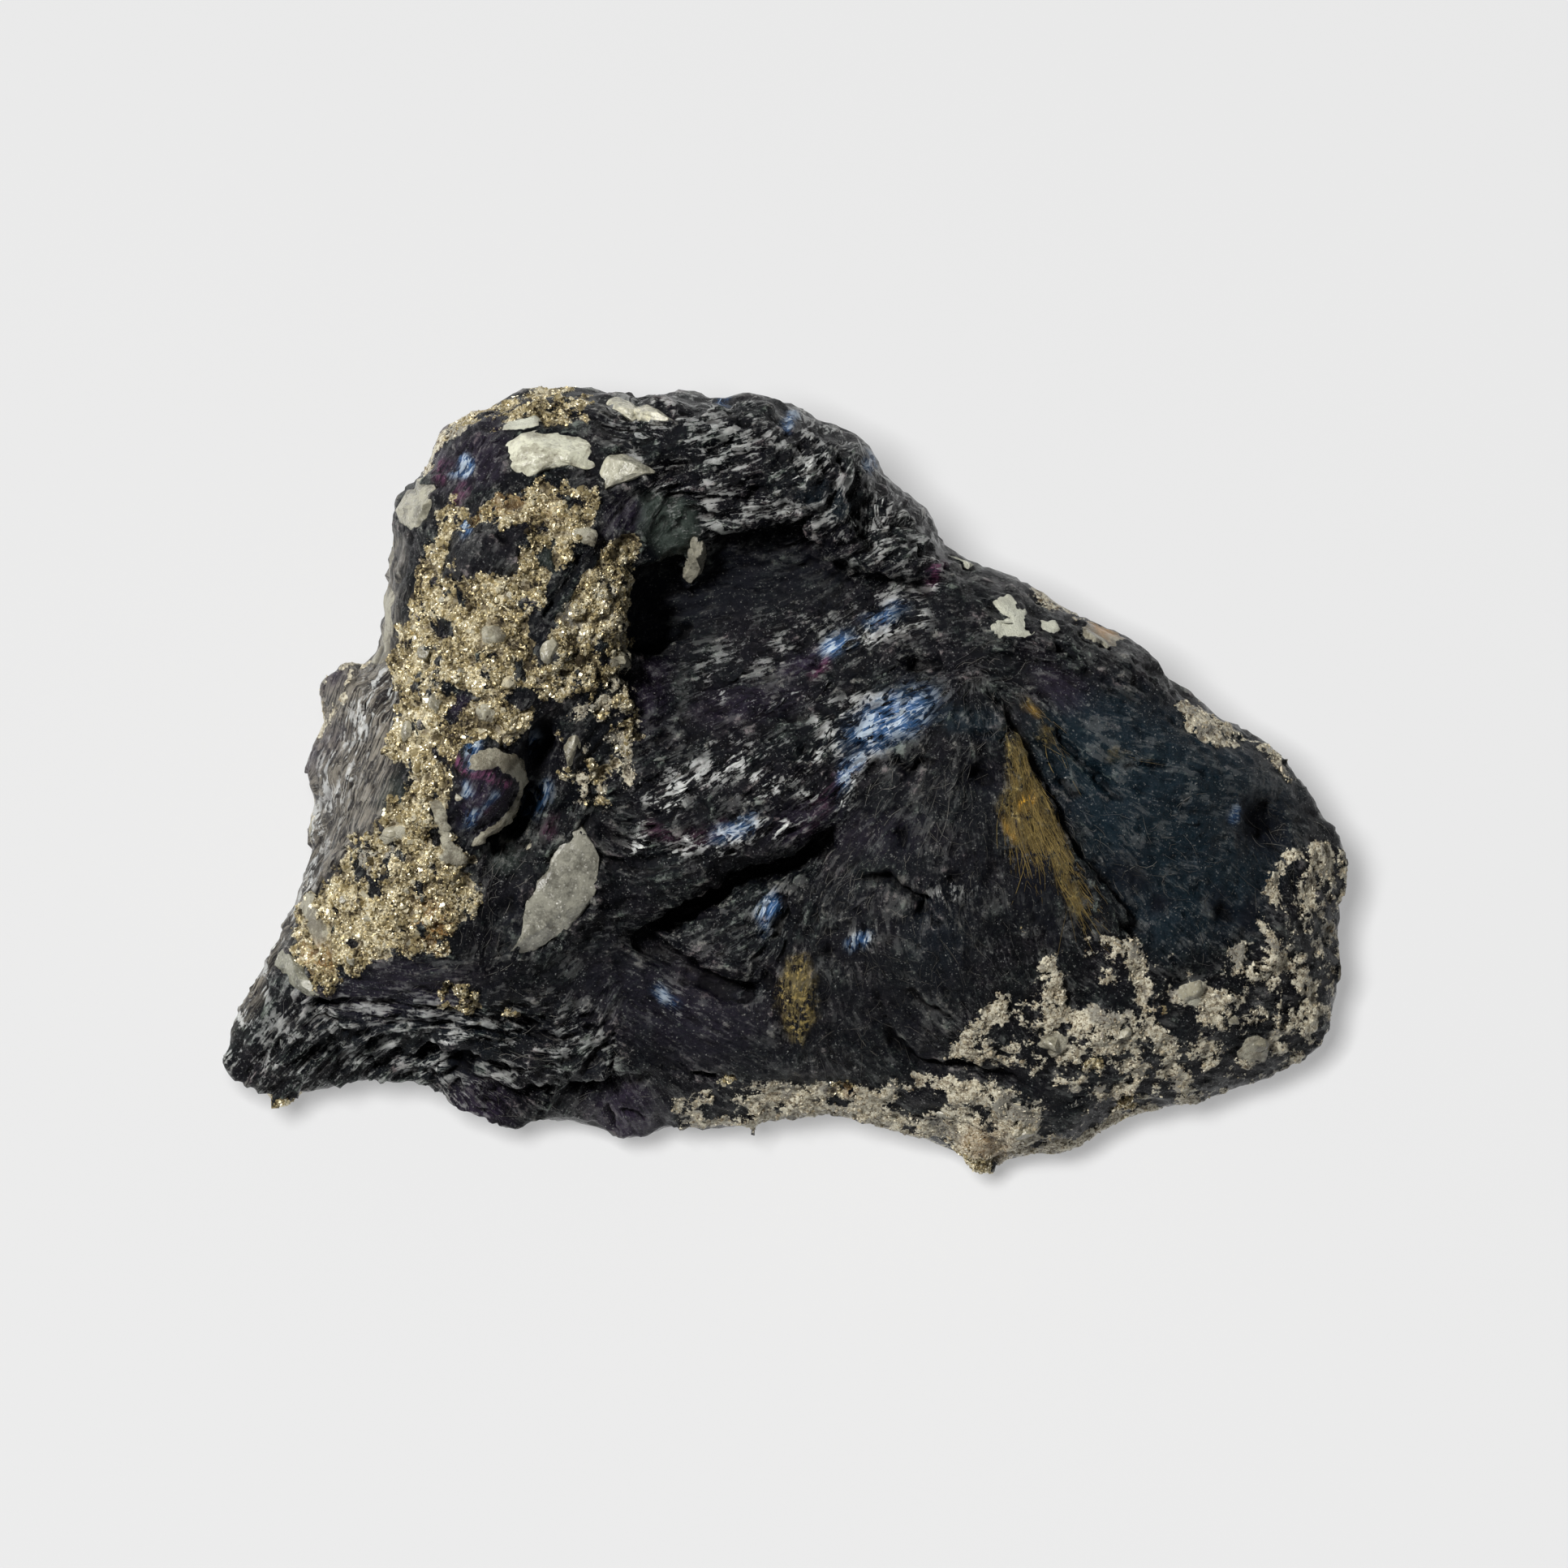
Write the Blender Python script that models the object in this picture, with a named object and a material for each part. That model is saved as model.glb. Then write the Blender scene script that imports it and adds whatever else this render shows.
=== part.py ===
"""A hand-sized covellite specimen: one lump of ore and the quartz crystals set in it.

The show face is drawn in its own plane, in millimetres: u runs to the right, v up the face and
w out of it. The face is then leaned back and the lump is cut flat where it rests.
"""

import math

import bmesh
import bpy
import numpy as np
from mathutils import Vector, noise
from mathutils.geometry import delaunay_2d_cdt

# Driving dimensions
MM = 0.001
FACE_LEAN = math.radians(14.0)
FACE_ORIGIN = Vector((-0.175, -0.50, 18.2))
UNDERSIDE_DEPTH = 22.0
SHOULDER_WIDTH = 6.0
CRYSTAL_GAP = 0.42

# How finely the face is laid out in facets
FACET_SPACING = 1.55
FACET_SCATTER = 0.35
SCATTER_SIZE = 0.9
CLOSEST_TO_FACET = 0.62
CLOSEST_ON_A_LINE = 0.45
CLOSEST_TO_RIM = 0.9
SHOULDER_OF_A_LINE = 1.2
ROWS_EACH_WAY = 40
SMALLEST_GAP = 1e-4

# The outline of the show face, clockwise from the bump on the left
FACE_OUTLINE = (
    (-38.4, -1.3), (-39.2, 1.0), (-38.7, 3.0), (-37.9, 4.3), (-38.2, 6.4), (-38.0, 8.3),
    (-36.4, 9.7), (-34.6, 9.6), (-33.4, 11.1), (-32.9, 14.4), (-32.3, 17.7), (-32.2, 20.7),
    (-31.5, 23.3), (-30.3, 24.7), (-29.2, 27.3), (-28.2, 29.0), (-25.9, 30.4), (-23.0, 31.6),
    (-21.4, 32.5), (-18.1, 32.7), (-14.8, 32.1), (-12.2, 31.6), (-10.8, 32.3), (-7.2, 32.3),
    (-4.4, 31.7), (-2.3, 32.1), (0.8, 31.3), (3.3, 29.8), (6.4, 28.5), (7.7, 26.6),
    (8.0, 25.5), (10.6, 23.3), (11.6, 22.7), (12.3, 21.3), (13.7, 19.0), (16.0, 17.9),
    (18.9, 17.2), (22.3, 15.0), (25.6, 13.4), (27.6, 11.9), (30.3, 10.7), (33.4, 7.2),
    (37.6, 4.6), (39.5, 3.7), (41.2, 1.8), (42.6, -0.2), (43.4, -2.3), (45.8, -4.6),
    (46.4, -7.0), (45.6, -12.0), (46.0, -15.1), (45.4, -16.3), (44.9, -20.7), (43.9, -22.3),
    (40.5, -24.1), (38.2, -24.7), (35.8, -26.0), (32.7, -26.6), (28.2, -27.5), (25.9, -29.0),
    (24.6, -30.2), (21.5, -31.0), (17.8, -30.9), (17.3, -32.0), (16.2, -31.9), (13.3, -29.8),
    (8.8, -28.7), (4.2, -27.7), (-0.7, -28.1), (-2.1, -28.6), (-7.5, -28.4), (-9.4, -28.3),
    (-12.2, -29.4), (-14.2, -29.0), (-15.7, -27.9), (-19.5, -28.0), (-23.1, -28.4),
    (-26.2, -26.6), (-28.8, -24.5), (-33.6, -24.6), (-34.9, -24.3), (-39.5, -25.7),
    (-41.8, -26.5), (-43.4, -24.9), (-44.4, -25.0), (-46.05, -23.6), (-45.4, -20.8),
    (-43.9, -16.6), (-42.1, -13.8), (-40.8, -11.0), (-39.4, -6.6), (-38.8, -4.1),
)

# Heights of the main forms above the rim, each as (u, v, height)
RELIEF = {
    "pyrite crest": (
        (-18.0, 29.0, 12.0), (-22.0, 26.0, 13.0), (-24.0, 20.0, 15.0), (-25.0, 14.0, 16.0),
        (-26.0, 8.0, 16.0), (-27.0, 2.0, 15.5), (-28.0, -4.0, 14.0), (-31.0, -9.0, 12.0),
        (-36.0, -12.0, 9.0), (-39.0, -14.0, 7.0),
    ),
    "pyrite band, inner edge": (
        (-14.0, 22.0, 13.5), (-13.5, 15.0, 13.0), (-13.5, 8.0, 12.5), (-15.0, 1.0, 11.5),
        (-18.0, -5.0, 10.5), (-21.0, -12.0, 8.5), (-17.0, -14.0, 8.0),
    ),
    "left flank": (
        (-31.0, 12.0, 11.5), (-31.0, 20.0, 9.0), (-33.5, 2.0, 10.5), (-36.5, 4.0, 4.0),
        (-35.5, -4.0, 9.0), (-37.5, -7.0, 6.0), (-36.5, 8.0, 3.5),
    ),
    "lower left foot": (
        (-43.0, -21.0, 4.0), (-36.0, -19.5, 6.5), (-30.0, -19.0, 7.5), (-25.0, -20.0, 7.0),
        (-20.0, -19.0, 6.5), (-14.0, -21.0, 6.0), (-43.5, -24.0, 2.5), (-36.0, -23.5, 3.5),
        (-30.0, -23.0, 4.0), (-20.0, -25.0, 3.5),
    ),
    "top lobe": (
        (-9.0, 29.0, 13.0), (-2.0, 28.5, 13.5), (4.0, 26.0, 12.5), (8.0, 22.5, 11.5),
        (-4.0, 23.5, 13.0), (2.0, 23.5, 13.0), (10.5, 19.0, 10.5), (-9.0, 22.5, 12.0),
    ),
    "dark hollow": (
        (-9.5, 15.0, 7.0), (-4.0, 16.5, 7.5), (1.0, 17.0, 8.0), (-9.5, 12.0, 7.5),
        (6.0, 14.0, 9.5), (-3.0, 12.5, 8.0),
    ),
    "open face": (
        (-8.0, 7.0, 9.5), (-3.0, 6.0, 10.5), (2.0, 8.0, 10.5), (5.0, 11.0, 10.5),
        (9.0, 9.5, 12.0),
    ),
    "bright swell": (
        (-10.0, -3.0, 11.5), (-4.0, -1.5, 13.0), (1.0, 1.5, 13.5), (6.0, 4.0, 13.5),
        (10.0, 6.0, 13.5),
    ),
    "lower panels": (
        (-6.0, -12.5, 9.5), (-2.0, -11.0, 10.0), (-12.0, -17.0, 7.5), (-6.0, -20.0, 8.0),
        (-2.0, -20.5, 8.0),
    ),
    "dome": (
        (6.0, -3.5, 12.5), (9.0, -8.0, 14.0), (12.0, -14.0, 12.5), (8.0, -19.0, 9.5),
        (14.0, -3.0, 13.5), (4.0, -13.0, 11.0), (2.0, -20.0, 8.0),
    ),
    "right ridge": (
        (15.0, 7.5, 13.5), (19.0, 3.5, 13.5), (22.0, -4.0, 12.0), (25.0, -11.0, 10.5),
    ),
    "right facet": (
        (24.0, 4.5, 12.0), (29.0, 0.0, 11.0), (33.0, -4.0, 9.5), (36.0, 3.0, 7.5),
        (40.0, -3.0, 5.5), (30.0, -10.0, 9.0), (38.0, -10.0, 6.0), (43.0, -7.0, 3.5),
    ),
    "upper right strip": (
        (14.0, 14.5, 11.5), (20.0, 12.5, 11.5), (26.0, 10.0, 10.5), (32.0, 7.0, 8.5),
    ),
    "mottled zone": (
        (22.0, -17.0, 9.0), (28.0, -18.0, 8.0), (34.0, -18.0, 6.5), (41.0, -16.0, 4.0),
        (26.0, -24.0, 5.5), (35.0, -23.0, 4.0), (19.0, -26.0, 5.0),
    ),
    "bottom strip": ((0.0, -25.5, 4.5), (9.0, -25.5, 4.5), (-11.0, -26.0, 3.0), (15.7, -29.5, 2.0)),
}

# How far the rim itself rises and falls round the face, each as (u, v, height)
RIM_HEIGHTS = (
    (-39.0, 3.0, -3.0), (-32.5, 18.0, 1.0), (-25.0, 31.0, 2.0), (-5.0, 32.0, 3.0),
    (12.0, 21.5, 2.0), (27.0, 12.5, 2.5), (43.0, -1.0, -0.5), (46.0, -12.0, -2.0),
    (38.0, -25.0, -1.5), (22.0, -31.0, -2.5), (0.0, -28.0, 0.0), (-14.0, -29.0, -2.0),
    (-30.0, -24.5, 0.5), (-45.5, -24.0, -1.0), (-41.0, -11.0, -1.0),
)


class Line:
    """A crack, crease or ledge in the face: its course, half width, depth, and the lift of its left side."""

    def __init__(self, course, half_width, depth, lift=0.0, reach=3.0):
        self.course = [Vector(point) for point in course]
        self.half_width = half_width
        self.depth = depth
        self.lift = lift
        self.reach = reach


LINES = {
    "crease under the swell": Line(
        ((-12.2, -12.6), (-9.0, -10.8), (-6.0, -8.8), (-3.0, -7.1), (1.0, -6.0), (3.0, -4.7), (4.8, -3.0)),
        1.0, 3.2, lift=1.0, reach=4.0,
    ),
    "second crease": Line(
        ((-13.0, -12.4), (-10.5, -13.0), (-8.5, -14.5), (-6.0, -16.0), (-3.0, -17.0), (-1.3, -16.3)),
        0.8, 1.8, lift=0.6,
    ),
    "fold beside the dome": Line(((0.2, -7.5), (0.0, -11.0), (-1.3, -14.0), (-0.8, -18.0)), 0.8, 1.2),
    "crack across the dome": Line(
        ((6.2, -7.6), (8.5, -7.7), (10.5, -9.0), (12.0, -10.5), (13.0, -11.7)), 0.6, 1.0, lift=0.4,
    ),
    "crack above the dome": Line(((8.6, 1.9), (10.5, 1.0), (12.0, 1.8), (13.4, 1.4)), 0.5, 0.8),
    "crack below the dome": Line(((8.0, -20.0), (11.0, -22.8), (16.0, -23.0), (19.0, -24.5)), 0.7, 1.2),
    "crack right of the yellow streak": Line(
        ((15.8, 8.0), (19.0, 4.8), (21.0, 1.0), (23.0, -3.0), (26.5, -8.0), (30.5, -13.0)),
        0.8, 0.8, lift=-0.8, reach=4.0,
    ),
    "crack on the right facet": Line(((21.8, 4.8), (24.0, 2.0), (26.0, 0.5), (28.0, -1.0)), 0.5, 0.9),
    "edge of the top lobe": Line(
        ((-7.4, 19.6), (-5.0, 20.2), (-1.0, 20.8), (1.0, 21.2), (3.0, 18.5), (5.0, 17.0), (9.0, 16.2),
         (12.8, 16.6)),
        0.7, 1.0, lift=1.7, reach=2.5,
    ),
    "edge of the grey-green patch": Line(
        ((-12.2, 17.4), (-10.0, 17.6), (-7.8, 18.0)), 0.6, 0.6, lift=1.8, reach=2.5,
    ),
    "edge of the pyrite band": Line(
        ((-12.5, 7.2), (-12.7, 11.2), (-12.4, 14.8), (-12.2, 17.2)), 0.7, 0.5, lift=1.9, reach=2.5,
    ),
    "lower edge of the hollow": Line(((-12.6, 10.9), (-10.0, 10.9), (-7.5, 13.0)), 0.6, 0.8, lift=-0.6),
    "crack in the top lobe": Line(((-4.4, 22.6), (-3.2, 23.8), (-2.0, 25.2)), 0.6, 1.0),
    "upper crack in the top lobe": Line(((-7.0, 27.4), (-4.8, 27.7), (-3.0, 28.2)), 0.6, 0.8),
    "right crack in the top lobe": Line(((6.0, 21.6), (7.6, 21.4), (10.0, 21.2)), 0.6, 1.0),
    "shadow below the knob": Line(((-20.3, 0.8), (-21.2, -2.0), (-22.2, -4.0), (-24.0, -6.0)), 0.8, 2.0),
    "upper fold of the foot": Line(
        ((-40.0, -18.0), (-35.0, -17.5), (-29.0, -17.2), (-23.0, -18.6), (-17.0, -20.0)), 0.8, 1.2, lift=0.6,
    ),
    "lower fold of the foot": Line(
        ((-42.0, -22.3), (-36.0, -21.4), (-30.0, -21.8), (-24.0, -23.2), (-17.0, -23.4)), 0.8, 1.4, lift=0.8,
    ),
    "break above the blue blocks": Line(
        ((-24.0, -25.2), (-19.0, -24.9), (-15.5, -24.3), (-10.5, -24.6)), 0.7, 1.3, lift=0.8,
    ),
    "edge of the bottom strip": Line(
        ((-8.0, -24.3), (-4.0, -24.0), (1.0, -24.4), (6.0, -24.0)), 0.7, 0.6, lift=0.8,
    ),
    "foot of the upper right strip": Line(
        ((13.5, 12.6), (20.0, 10.2), (25.0, 8.8), (31.0, 5.8)), 0.9, 0.2, lift=0.8,
    ),
    "edge of the left flank": Line(
        ((-31.2, 16.0), (-32.2, 9.0), (-31.8, 3.0), (-33.2, -3.0), (-36.4, -6.0), (-39.2, -9.4)),
        0.6, -0.6,
    ),
}


class Pit:
    """A round hollow, or a lump where the depth is negative, in the face."""

    def __init__(self, place, radius, depth, stretch=1.0, turn=0.0):
        self.place = Vector(place)
        self.radius = radius
        self.depth = depth
        self.stretch = stretch
        self.turn = math.radians(turn)


PITS = {
    "void in the band": Pit((-19.6, 3.0), 1.7, 2.6, stretch=1.6, turn=70.0),
    "pit in the dome": Pit((16.0, 0.5), 1.2, 1.4),
    "pit below the swell": Pit((9.7, -4.5), 1.0, 1.2),
    "gap above the ridge": Pit((11.5, 10.0), 1.2, 1.4),
    "black patch by the right rim": Pit((39.3, -3.6), 2.4, 1.4),
    "pit in the mottled zone": Pit((33.0, -16.5), 1.6, 1.2),
    "blue knob": Pit((-24.6, 0.2), 3.0, -2.2, stretch=1.25, turn=95.0),
    "dark knob in the band": Pit((-25.0, 18.5), 2.2, -1.4, stretch=1.5, turn=20.0),
    "lump in the band": Pit((-18.8, 11.1), 1.4, -1.0),
    "quartz lump beside the void": Pit((-17.5, 2.7), 1.4, -1.1, stretch=1.3, turn=60.0),
    "lump on the left": Pit((-28.8, 6.9), 1.4, -0.9),
    "yellow lens": Pit((1.0, -17.6), 1.5, -0.8, stretch=2.4, turn=95.0),
    "lens crystal seat": Pit((-18.3, -9.0), 4.0, -0.9, stretch=1.4, turn=60.0),
    "pyrite nub": Pit((15.9, -30.6), 1.6, -1.2),
    "blue block": Pit((-12.8, -26.8), 2.6, -1.2),
    "small blue block": Pit((-25.6, -26.0), 1.6, -0.9),
    "lump in the mottled zone": Pit((27.0, -19.5), 2.6, -0.9, stretch=1.4, turn=30.0),
    "lump near the right rim": Pit((41.0, -12.0), 2.0, -0.8),
}

# Coarse grained zones, where the face is rough
PYRITE_ZONE = (
    (-28.5, 29.0), (-15.0, 31.0), (-11.5, 21.0), (-12.4, 14.8), (-12.4, 7.3), (-14.0, -2.0),
    (-22.0, -4.0), (-27.5, -14.5), (-37.5, -16.5), (-40.0, -12.0), (-33.0, -3.0), (-31.5, 5.0), (-32.0, 22.0),
)
QUARTZ_ZONE = (
    (-8.0, -24.3), (10.0, -23.5), (15.5, -20.0), (20.0, -15.5), (25.0, -12.5), (31.0, -14.0),
    (38.0, -12.0), (44.0, -4.0), (47.0, -10.0), (46.0, -25.0), (25.0, -32.0), (-8.0, -30.0),
)
GRAIN_ROUGHNESS = 0.75
GRAIN_SIZE = 1.9
FOLIATION_ROUGHNESS = 0.35
FOLIATION_SIZE = 3.4
BROAD_ROUGHNESS = 0.7
BROAD_SIZE = 9.0

# The flank below the rim, each step as (share of the outline, depth below the rim)
FLANK_STEPS = (
    (0.99, 1.8), (0.985, 4.0), (0.965, 6.6), (0.92, 9.6),
    (0.84, 12.8), (0.72, 15.8), (0.56, 18.6), (0.36, 21.0),
)
FLANK_CENTRE = Vector((1.5, 1.0))
FLANK_ROUGHNESS = 2.2
FLANK_SIZE = 13.0
FLANK_CHIPS = 1.3
FLANK_CHIP_SIZE = 4.5
HOLLOW_SHARE = 0.5

# Old breaks in the flank, each as a point on the break and the way it faces
BREAKS = (
    ((43.5, -12.0, -7.0), (0.86, -0.10, -0.50)),
    ((39.0, 1.0, -8.0), (0.62, 0.45, -0.64)),
    ((20.0, 16.5, -8.0), (0.35, 0.75, -0.56)),
    ((-12.0, 30.0, -8.0), (-0.08, 0.88, -0.47)),
    ((-33.0, 18.0, -8.0), (-0.88, 0.22, -0.42)),
    ((-38.0, -6.0, -9.0), (-0.82, 0.10, -0.56)),
    ((-39.0, -22.5, -7.5), (-0.55, -0.50, -0.67)),
    ((-8.0, -27.0, -7.5), (-0.10, -0.82, -0.56)),
    ((23.0, -28.0, -8.5), (0.22, -0.84, -0.49)),
    ((-21.0, 4.0, -13.5), (-0.46, 0.12, -0.88)),
    ((25.0, -3.0, -13.5), (0.44, -0.05, -0.90)),
    ((2.0, 19.0, -16.5), (0.05, 0.42, -0.91)),
)


class Crystal:
    """A quartz crystal set in the face: its outline, crest points as (u, v, rise), and depth sunk."""

    def __init__(self, outline, crest, shoulder=0.5, sink=2.2):
        self.outline = outline
        self.crest = crest
        self.shoulder = shoulder
        self.sink = sink


CRYSTALS = {
    "quartz_lens_crystal": Crystal(
        ((-16.8, -3.0), (-15.3, -5.6), (-14.6, -7.7), (-15.7, -10.0), (-18.0, -12.8), (-20.1, -14.3),
         (-22.4, -14.3), (-21.9, -11.6), (-21.0, -8.4), (-19.2, -5.6)),
        ((-17.3, -5.4, 1.3), (-17.4, -9.6, 1.5), (-20.0, -12.6, 1.1), (-18.9, -7.9, 1.4)),
    ),
    "quartz_prism_crystal": Crystal(
        ((-7.35, 21.2), (-6.4, 20.1), (-6.4, 17.9), (-7.8, 16.35), (-8.3, 17.55), (-8.0, 20.2)),
        ((-7.2, 20.3, 2.0), (-7.3, 17.6, 2.1), (-6.9, 19.6, 2.0)),
        shoulder=1.2,
    ),
    "quartz_top_crystal": Crystal(
        ((-23.0, 26.1), (-22.5, 27.65), (-20.7, 28.4), (-18.0, 28.9), (-15.4, 28.8), (-15.0, 27.8),
         (-16.0, 25.9), (-19.3, 25.3), (-21.9, 25.2)),
        ((-21.4, 26.6, 1.1), (-19.0, 27.4, 1.5), (-16.6, 27.7, 1.2), (-17.2, 26.6, 1.2)),
    ),
    "quartz_wedge_crystal": Crystal(
        ((-14.6, 26.4), (-13.4, 27.5), (-11.9, 26.95), (-10.05, 26.0), (-11.7, 24.95), (-13.35, 24.2),
         (-15.0, 23.7)),
        ((-13.7, 26.3, 1.3), (-12.0, 26.1, 1.1), (-13.5, 25.1, 1.0)),
    ),
    "quartz_left_rim_crystal": Crystal(
        ((-31.9, 21.2), (-31.6, 23.0), (-30.4, 24.6), (-28.4, 24.7), (-28.3, 22.4), (-28.9, 20.6),
         (-30.3, 20.4)),
        ((-30.4, 22.0, 1.6), (-30.0, 23.6, 1.5), (-29.2, 22.4, 1.2)),
    ),
    "quartz_toe_crystal": Crystal(
        ((-42.0, -14.4), (-40.7, -13.0), (-39.6, -14.4), (-38.5, -15.9), (-37.2, -17.4), (-39.2, -17.6),
         (-41.2, -16.4)),
        ((-40.5, -14.4, 1.5), (-39.4, -16.2, 1.4), (-40.6, -15.6, 1.3)),
    ),
}
RIM_PAIR = (
    Crystal(
        ((-14.9, 30.5), (-13.9, 31.6), (-12.7, 31.2), (-11.7, 30.4), (-12.5, 29.6)),
        ((-13.7, 30.8, 1.4), (-12.8, 30.4, 1.3)),
    ),
    Crystal(
        ((-12.4, 30.6), (-11.2, 31.4), (-9.8, 30.8), (-8.5, 29.4), (-10.2, 29.1), (-12.0, 29.9)),
        ((-11.1, 30.5, 1.5), (-9.7, 30.0, 1.2)),
    ),
)


# Measuring on the face
def distance_to_course(point, course):
    """The distance to a run of straight stretches, which side of it the point is on, and how far along."""
    best = (1e9, 1.0, 0.0)
    length = sum((b - a).length for a, b in zip(course, course[1:]))
    walked = 0.0
    for start, end in zip(course, course[1:]):
        along = end - start
        share = max(0.0, min(1.0, (point - start).dot(along) / along.length_squared))
        offset = point - (start + share * along)
        side = 1.0 if along.x * offset.y - along.y * offset.x > 0 else -1.0
        if offset.length < best[0]:
            best = (offset.length, side, (walked + share * along.length) / length)
        walked += along.length
    return best


def inside(point, outline):
    """Whether a point of the face lies inside a closed outline."""
    hit = False
    for (u0, v0), (u1, v1) in zip(outline, outline[1:] + outline[:1]):
        if (v0 > point.y) != (v1 > point.y):
            hit ^= point.x < u0 + (point.y - v0) * (u1 - u0) / (v1 - v0)
    return hit


def ramp(value, low, high):
    share = max(0.0, min(1.0, (value - low) / (high - low)))
    return share * share * (3.0 - 2.0 * share)


def lumps(point, size, seed):
    """Smooth noise between about -1 and 1, with lumps of the given size."""
    return noise.noise(Vector((point.x / size, point.y / size, seed)))


# The relief of the face
class Relief:
    """A smooth surface through the heights of the main forms, with its cracks, pits and grain."""

    def __init__(self):
        self.rim = [Vector(point) for point in FACE_OUTLINE]
        self.rim.append(self.rim[0])
        self.marks = np.array([mark for group in RELIEF.values() for mark in group])
        self.weights = self.fit(self.marks)

    @staticmethod
    def bend(distance):
        """The bending of a thin plate at a distance from a push."""
        safe = np.maximum(distance, 1e-6)
        return safe**2 * np.log(safe)

    def fit(self, marks):
        count = len(marks)
        plane = np.column_stack([np.ones(count), marks[:, :2]])
        gaps = np.linalg.norm(marks[:, None, :2] - marks[None, :, :2], axis=2)
        system = np.zeros((count + 3, count + 3))
        system[:count, :count] = self.bend(gaps)
        system[:count, count:] = plane
        system[count:, :count] = plane.T
        return np.linalg.solve(system, np.append(marks[:, 2], np.zeros(3)))

    def forms(self, point):
        gaps = np.linalg.norm(self.marks[:, :2] - np.array(point), axis=1)
        count = len(self.marks)
        plane = self.weights[count:] @ (1.0, point.x, point.y)
        return float(self.weights[:count] @ self.bend(gaps) + plane)

    @staticmethod
    def rim_height(point):
        gaps = [(point - Vector(mark[:2])).length + 1.0 for mark in RIM_HEIGHTS]
        shares = [gap**-3 for gap in gaps]
        return sum(share * mark[2] for share, mark in zip(shares, RIM_HEIGHTS)) / sum(shares)

    @staticmethod
    def line_height(point, line):
        gap, side, along = distance_to_course(point, line.course)
        fade = ramp(min(along, 1.0 - along), -0.05, 0.2)
        cut = line.depth * math.exp(-((gap / line.half_width) ** 2))
        step = line.lift * math.tanh(gap / line.half_width) * side * math.exp(-gap / line.reach)
        return fade * (step - cut)

    @staticmethod
    def pit_height(point, pit):
        offset = point - pit.place
        along = offset.x * math.cos(pit.turn) + offset.y * math.sin(pit.turn)
        across = offset.y * math.cos(pit.turn) - offset.x * math.sin(pit.turn)
        gap = math.hypot(along / pit.stretch, across) / pit.radius
        return -pit.depth * math.exp(-(gap**4))

    def grain(self, point):
        rough = BROAD_ROUGHNESS * lumps(point, BROAD_SIZE, 1.5)
        if inside(point, PYRITE_ZONE) or inside(point, QUARTZ_ZONE):
            return rough + GRAIN_ROUGHNESS * lumps(point, GRAIN_SIZE, 7.5)
        return rough + FOLIATION_ROUGHNESS * lumps(point, FOLIATION_SIZE, 4.5)

    def height(self, point):
        """The height of the face at a point, falling steeply to the rim at its edge."""
        edge_gap = distance_to_course(point, self.rim)[0]
        top = self.forms(point) + self.grain(point)
        top += sum(self.line_height(point, line) for line in LINES.values())
        top += sum(self.pit_height(point, pit) for pit in PITS.values())
        edge = self.rim_height(point)
        share = min(1.0, edge_gap / SHOULDER_WIDTH)
        roundness = math.sqrt(1.0 - (1.0 - share) ** 2)
        return edge + (top - edge) * roundness


def place(u, v, w):
    """A point of the face in the specimen's own frame, in metres."""
    upright = Vector((0.0, math.cos(FACE_LEAN), math.sin(FACE_LEAN)))
    outward = Vector((0.0, -math.sin(FACE_LEAN), math.cos(FACE_LEAN)))
    return MM * (FACE_ORIGIN + Vector((u, 0.0, 0.0)) + v * upright + w * outward)


# The lump
def beside(course, shift):
    """The course moved sideways, to the left where the shift is positive."""
    moved = []
    for index, point in enumerate(course):
        ahead = course[min(index + 1, len(course) - 1)] - course[max(index - 1, 0)]
        moved.append(point + shift * Vector((-ahead.y, ahead.x)).normalized())
    return moved


def divided(course, step):
    """The course with points added so that no stretch is much longer than the step."""
    points = [course[0]]
    for start, end in zip(course, course[1:]):
        pieces = max(1, round((end - start).length / step))
        points += [start.lerp(end, piece / pieces) for piece in range(1, pieces + 1)]
    return points


def face_layout(relief):
    """Points and edges laid out on the face: the rim, both sides of every crack, and facets between."""
    points = list(relief.rim[:-1])
    edges = [(index, (index + 1) % len(points)) for index in range(len(points))]
    rim_count = len(points)
    courses = []
    for line in LINES.values():
        course = divided(line.course, FACET_SPACING)
        courses.append(course)
        shoulder = SHOULDER_OF_A_LINE * line.half_width
        courses += [beside(course, shoulder), beside(course, -shoulder)]
    kept = []
    for course in courses:
        previous = None
        for point in course:
            clear = distance_to_course(point, relief.rim)[0] > CLOSEST_TO_RIM
            clear = clear and inside(point, FACE_OUTLINE)
            clear = clear and all((point - other).length > CLOSEST_ON_A_LINE for other in kept)
            if not clear:
                previous = None
                continue
            kept.append(point)
            points.append(point)
            if previous is not None:
                edges.append((previous, len(points) - 1))
            previous = len(points) - 1
    row_height = FACET_SPACING * math.sqrt(0.75)
    for row in range(-ROWS_EACH_WAY, ROWS_EACH_WAY + 1):
        for column in range(-ROWS_EACH_WAY, ROWS_EACH_WAY + 1):
            point = Vector(((column + 0.5 * (row % 2)) * FACET_SPACING, row * row_height))
            shift = Vector((lumps(point, SCATTER_SIZE, 11.5), lumps(point, SCATTER_SIZE, 21.5)))
            point += FACET_SCATTER * FACET_SPACING * shift
            if not inside(point, FACE_OUTLINE):
                continue
            if distance_to_course(point, relief.rim)[0] < CLOSEST_TO_RIM:
                continue
            if any((point - other).length < CLOSEST_TO_FACET * FACET_SPACING for other in kept):
                continue
            points.append(point)
    return points, edges, list(range(rim_count))


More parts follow.
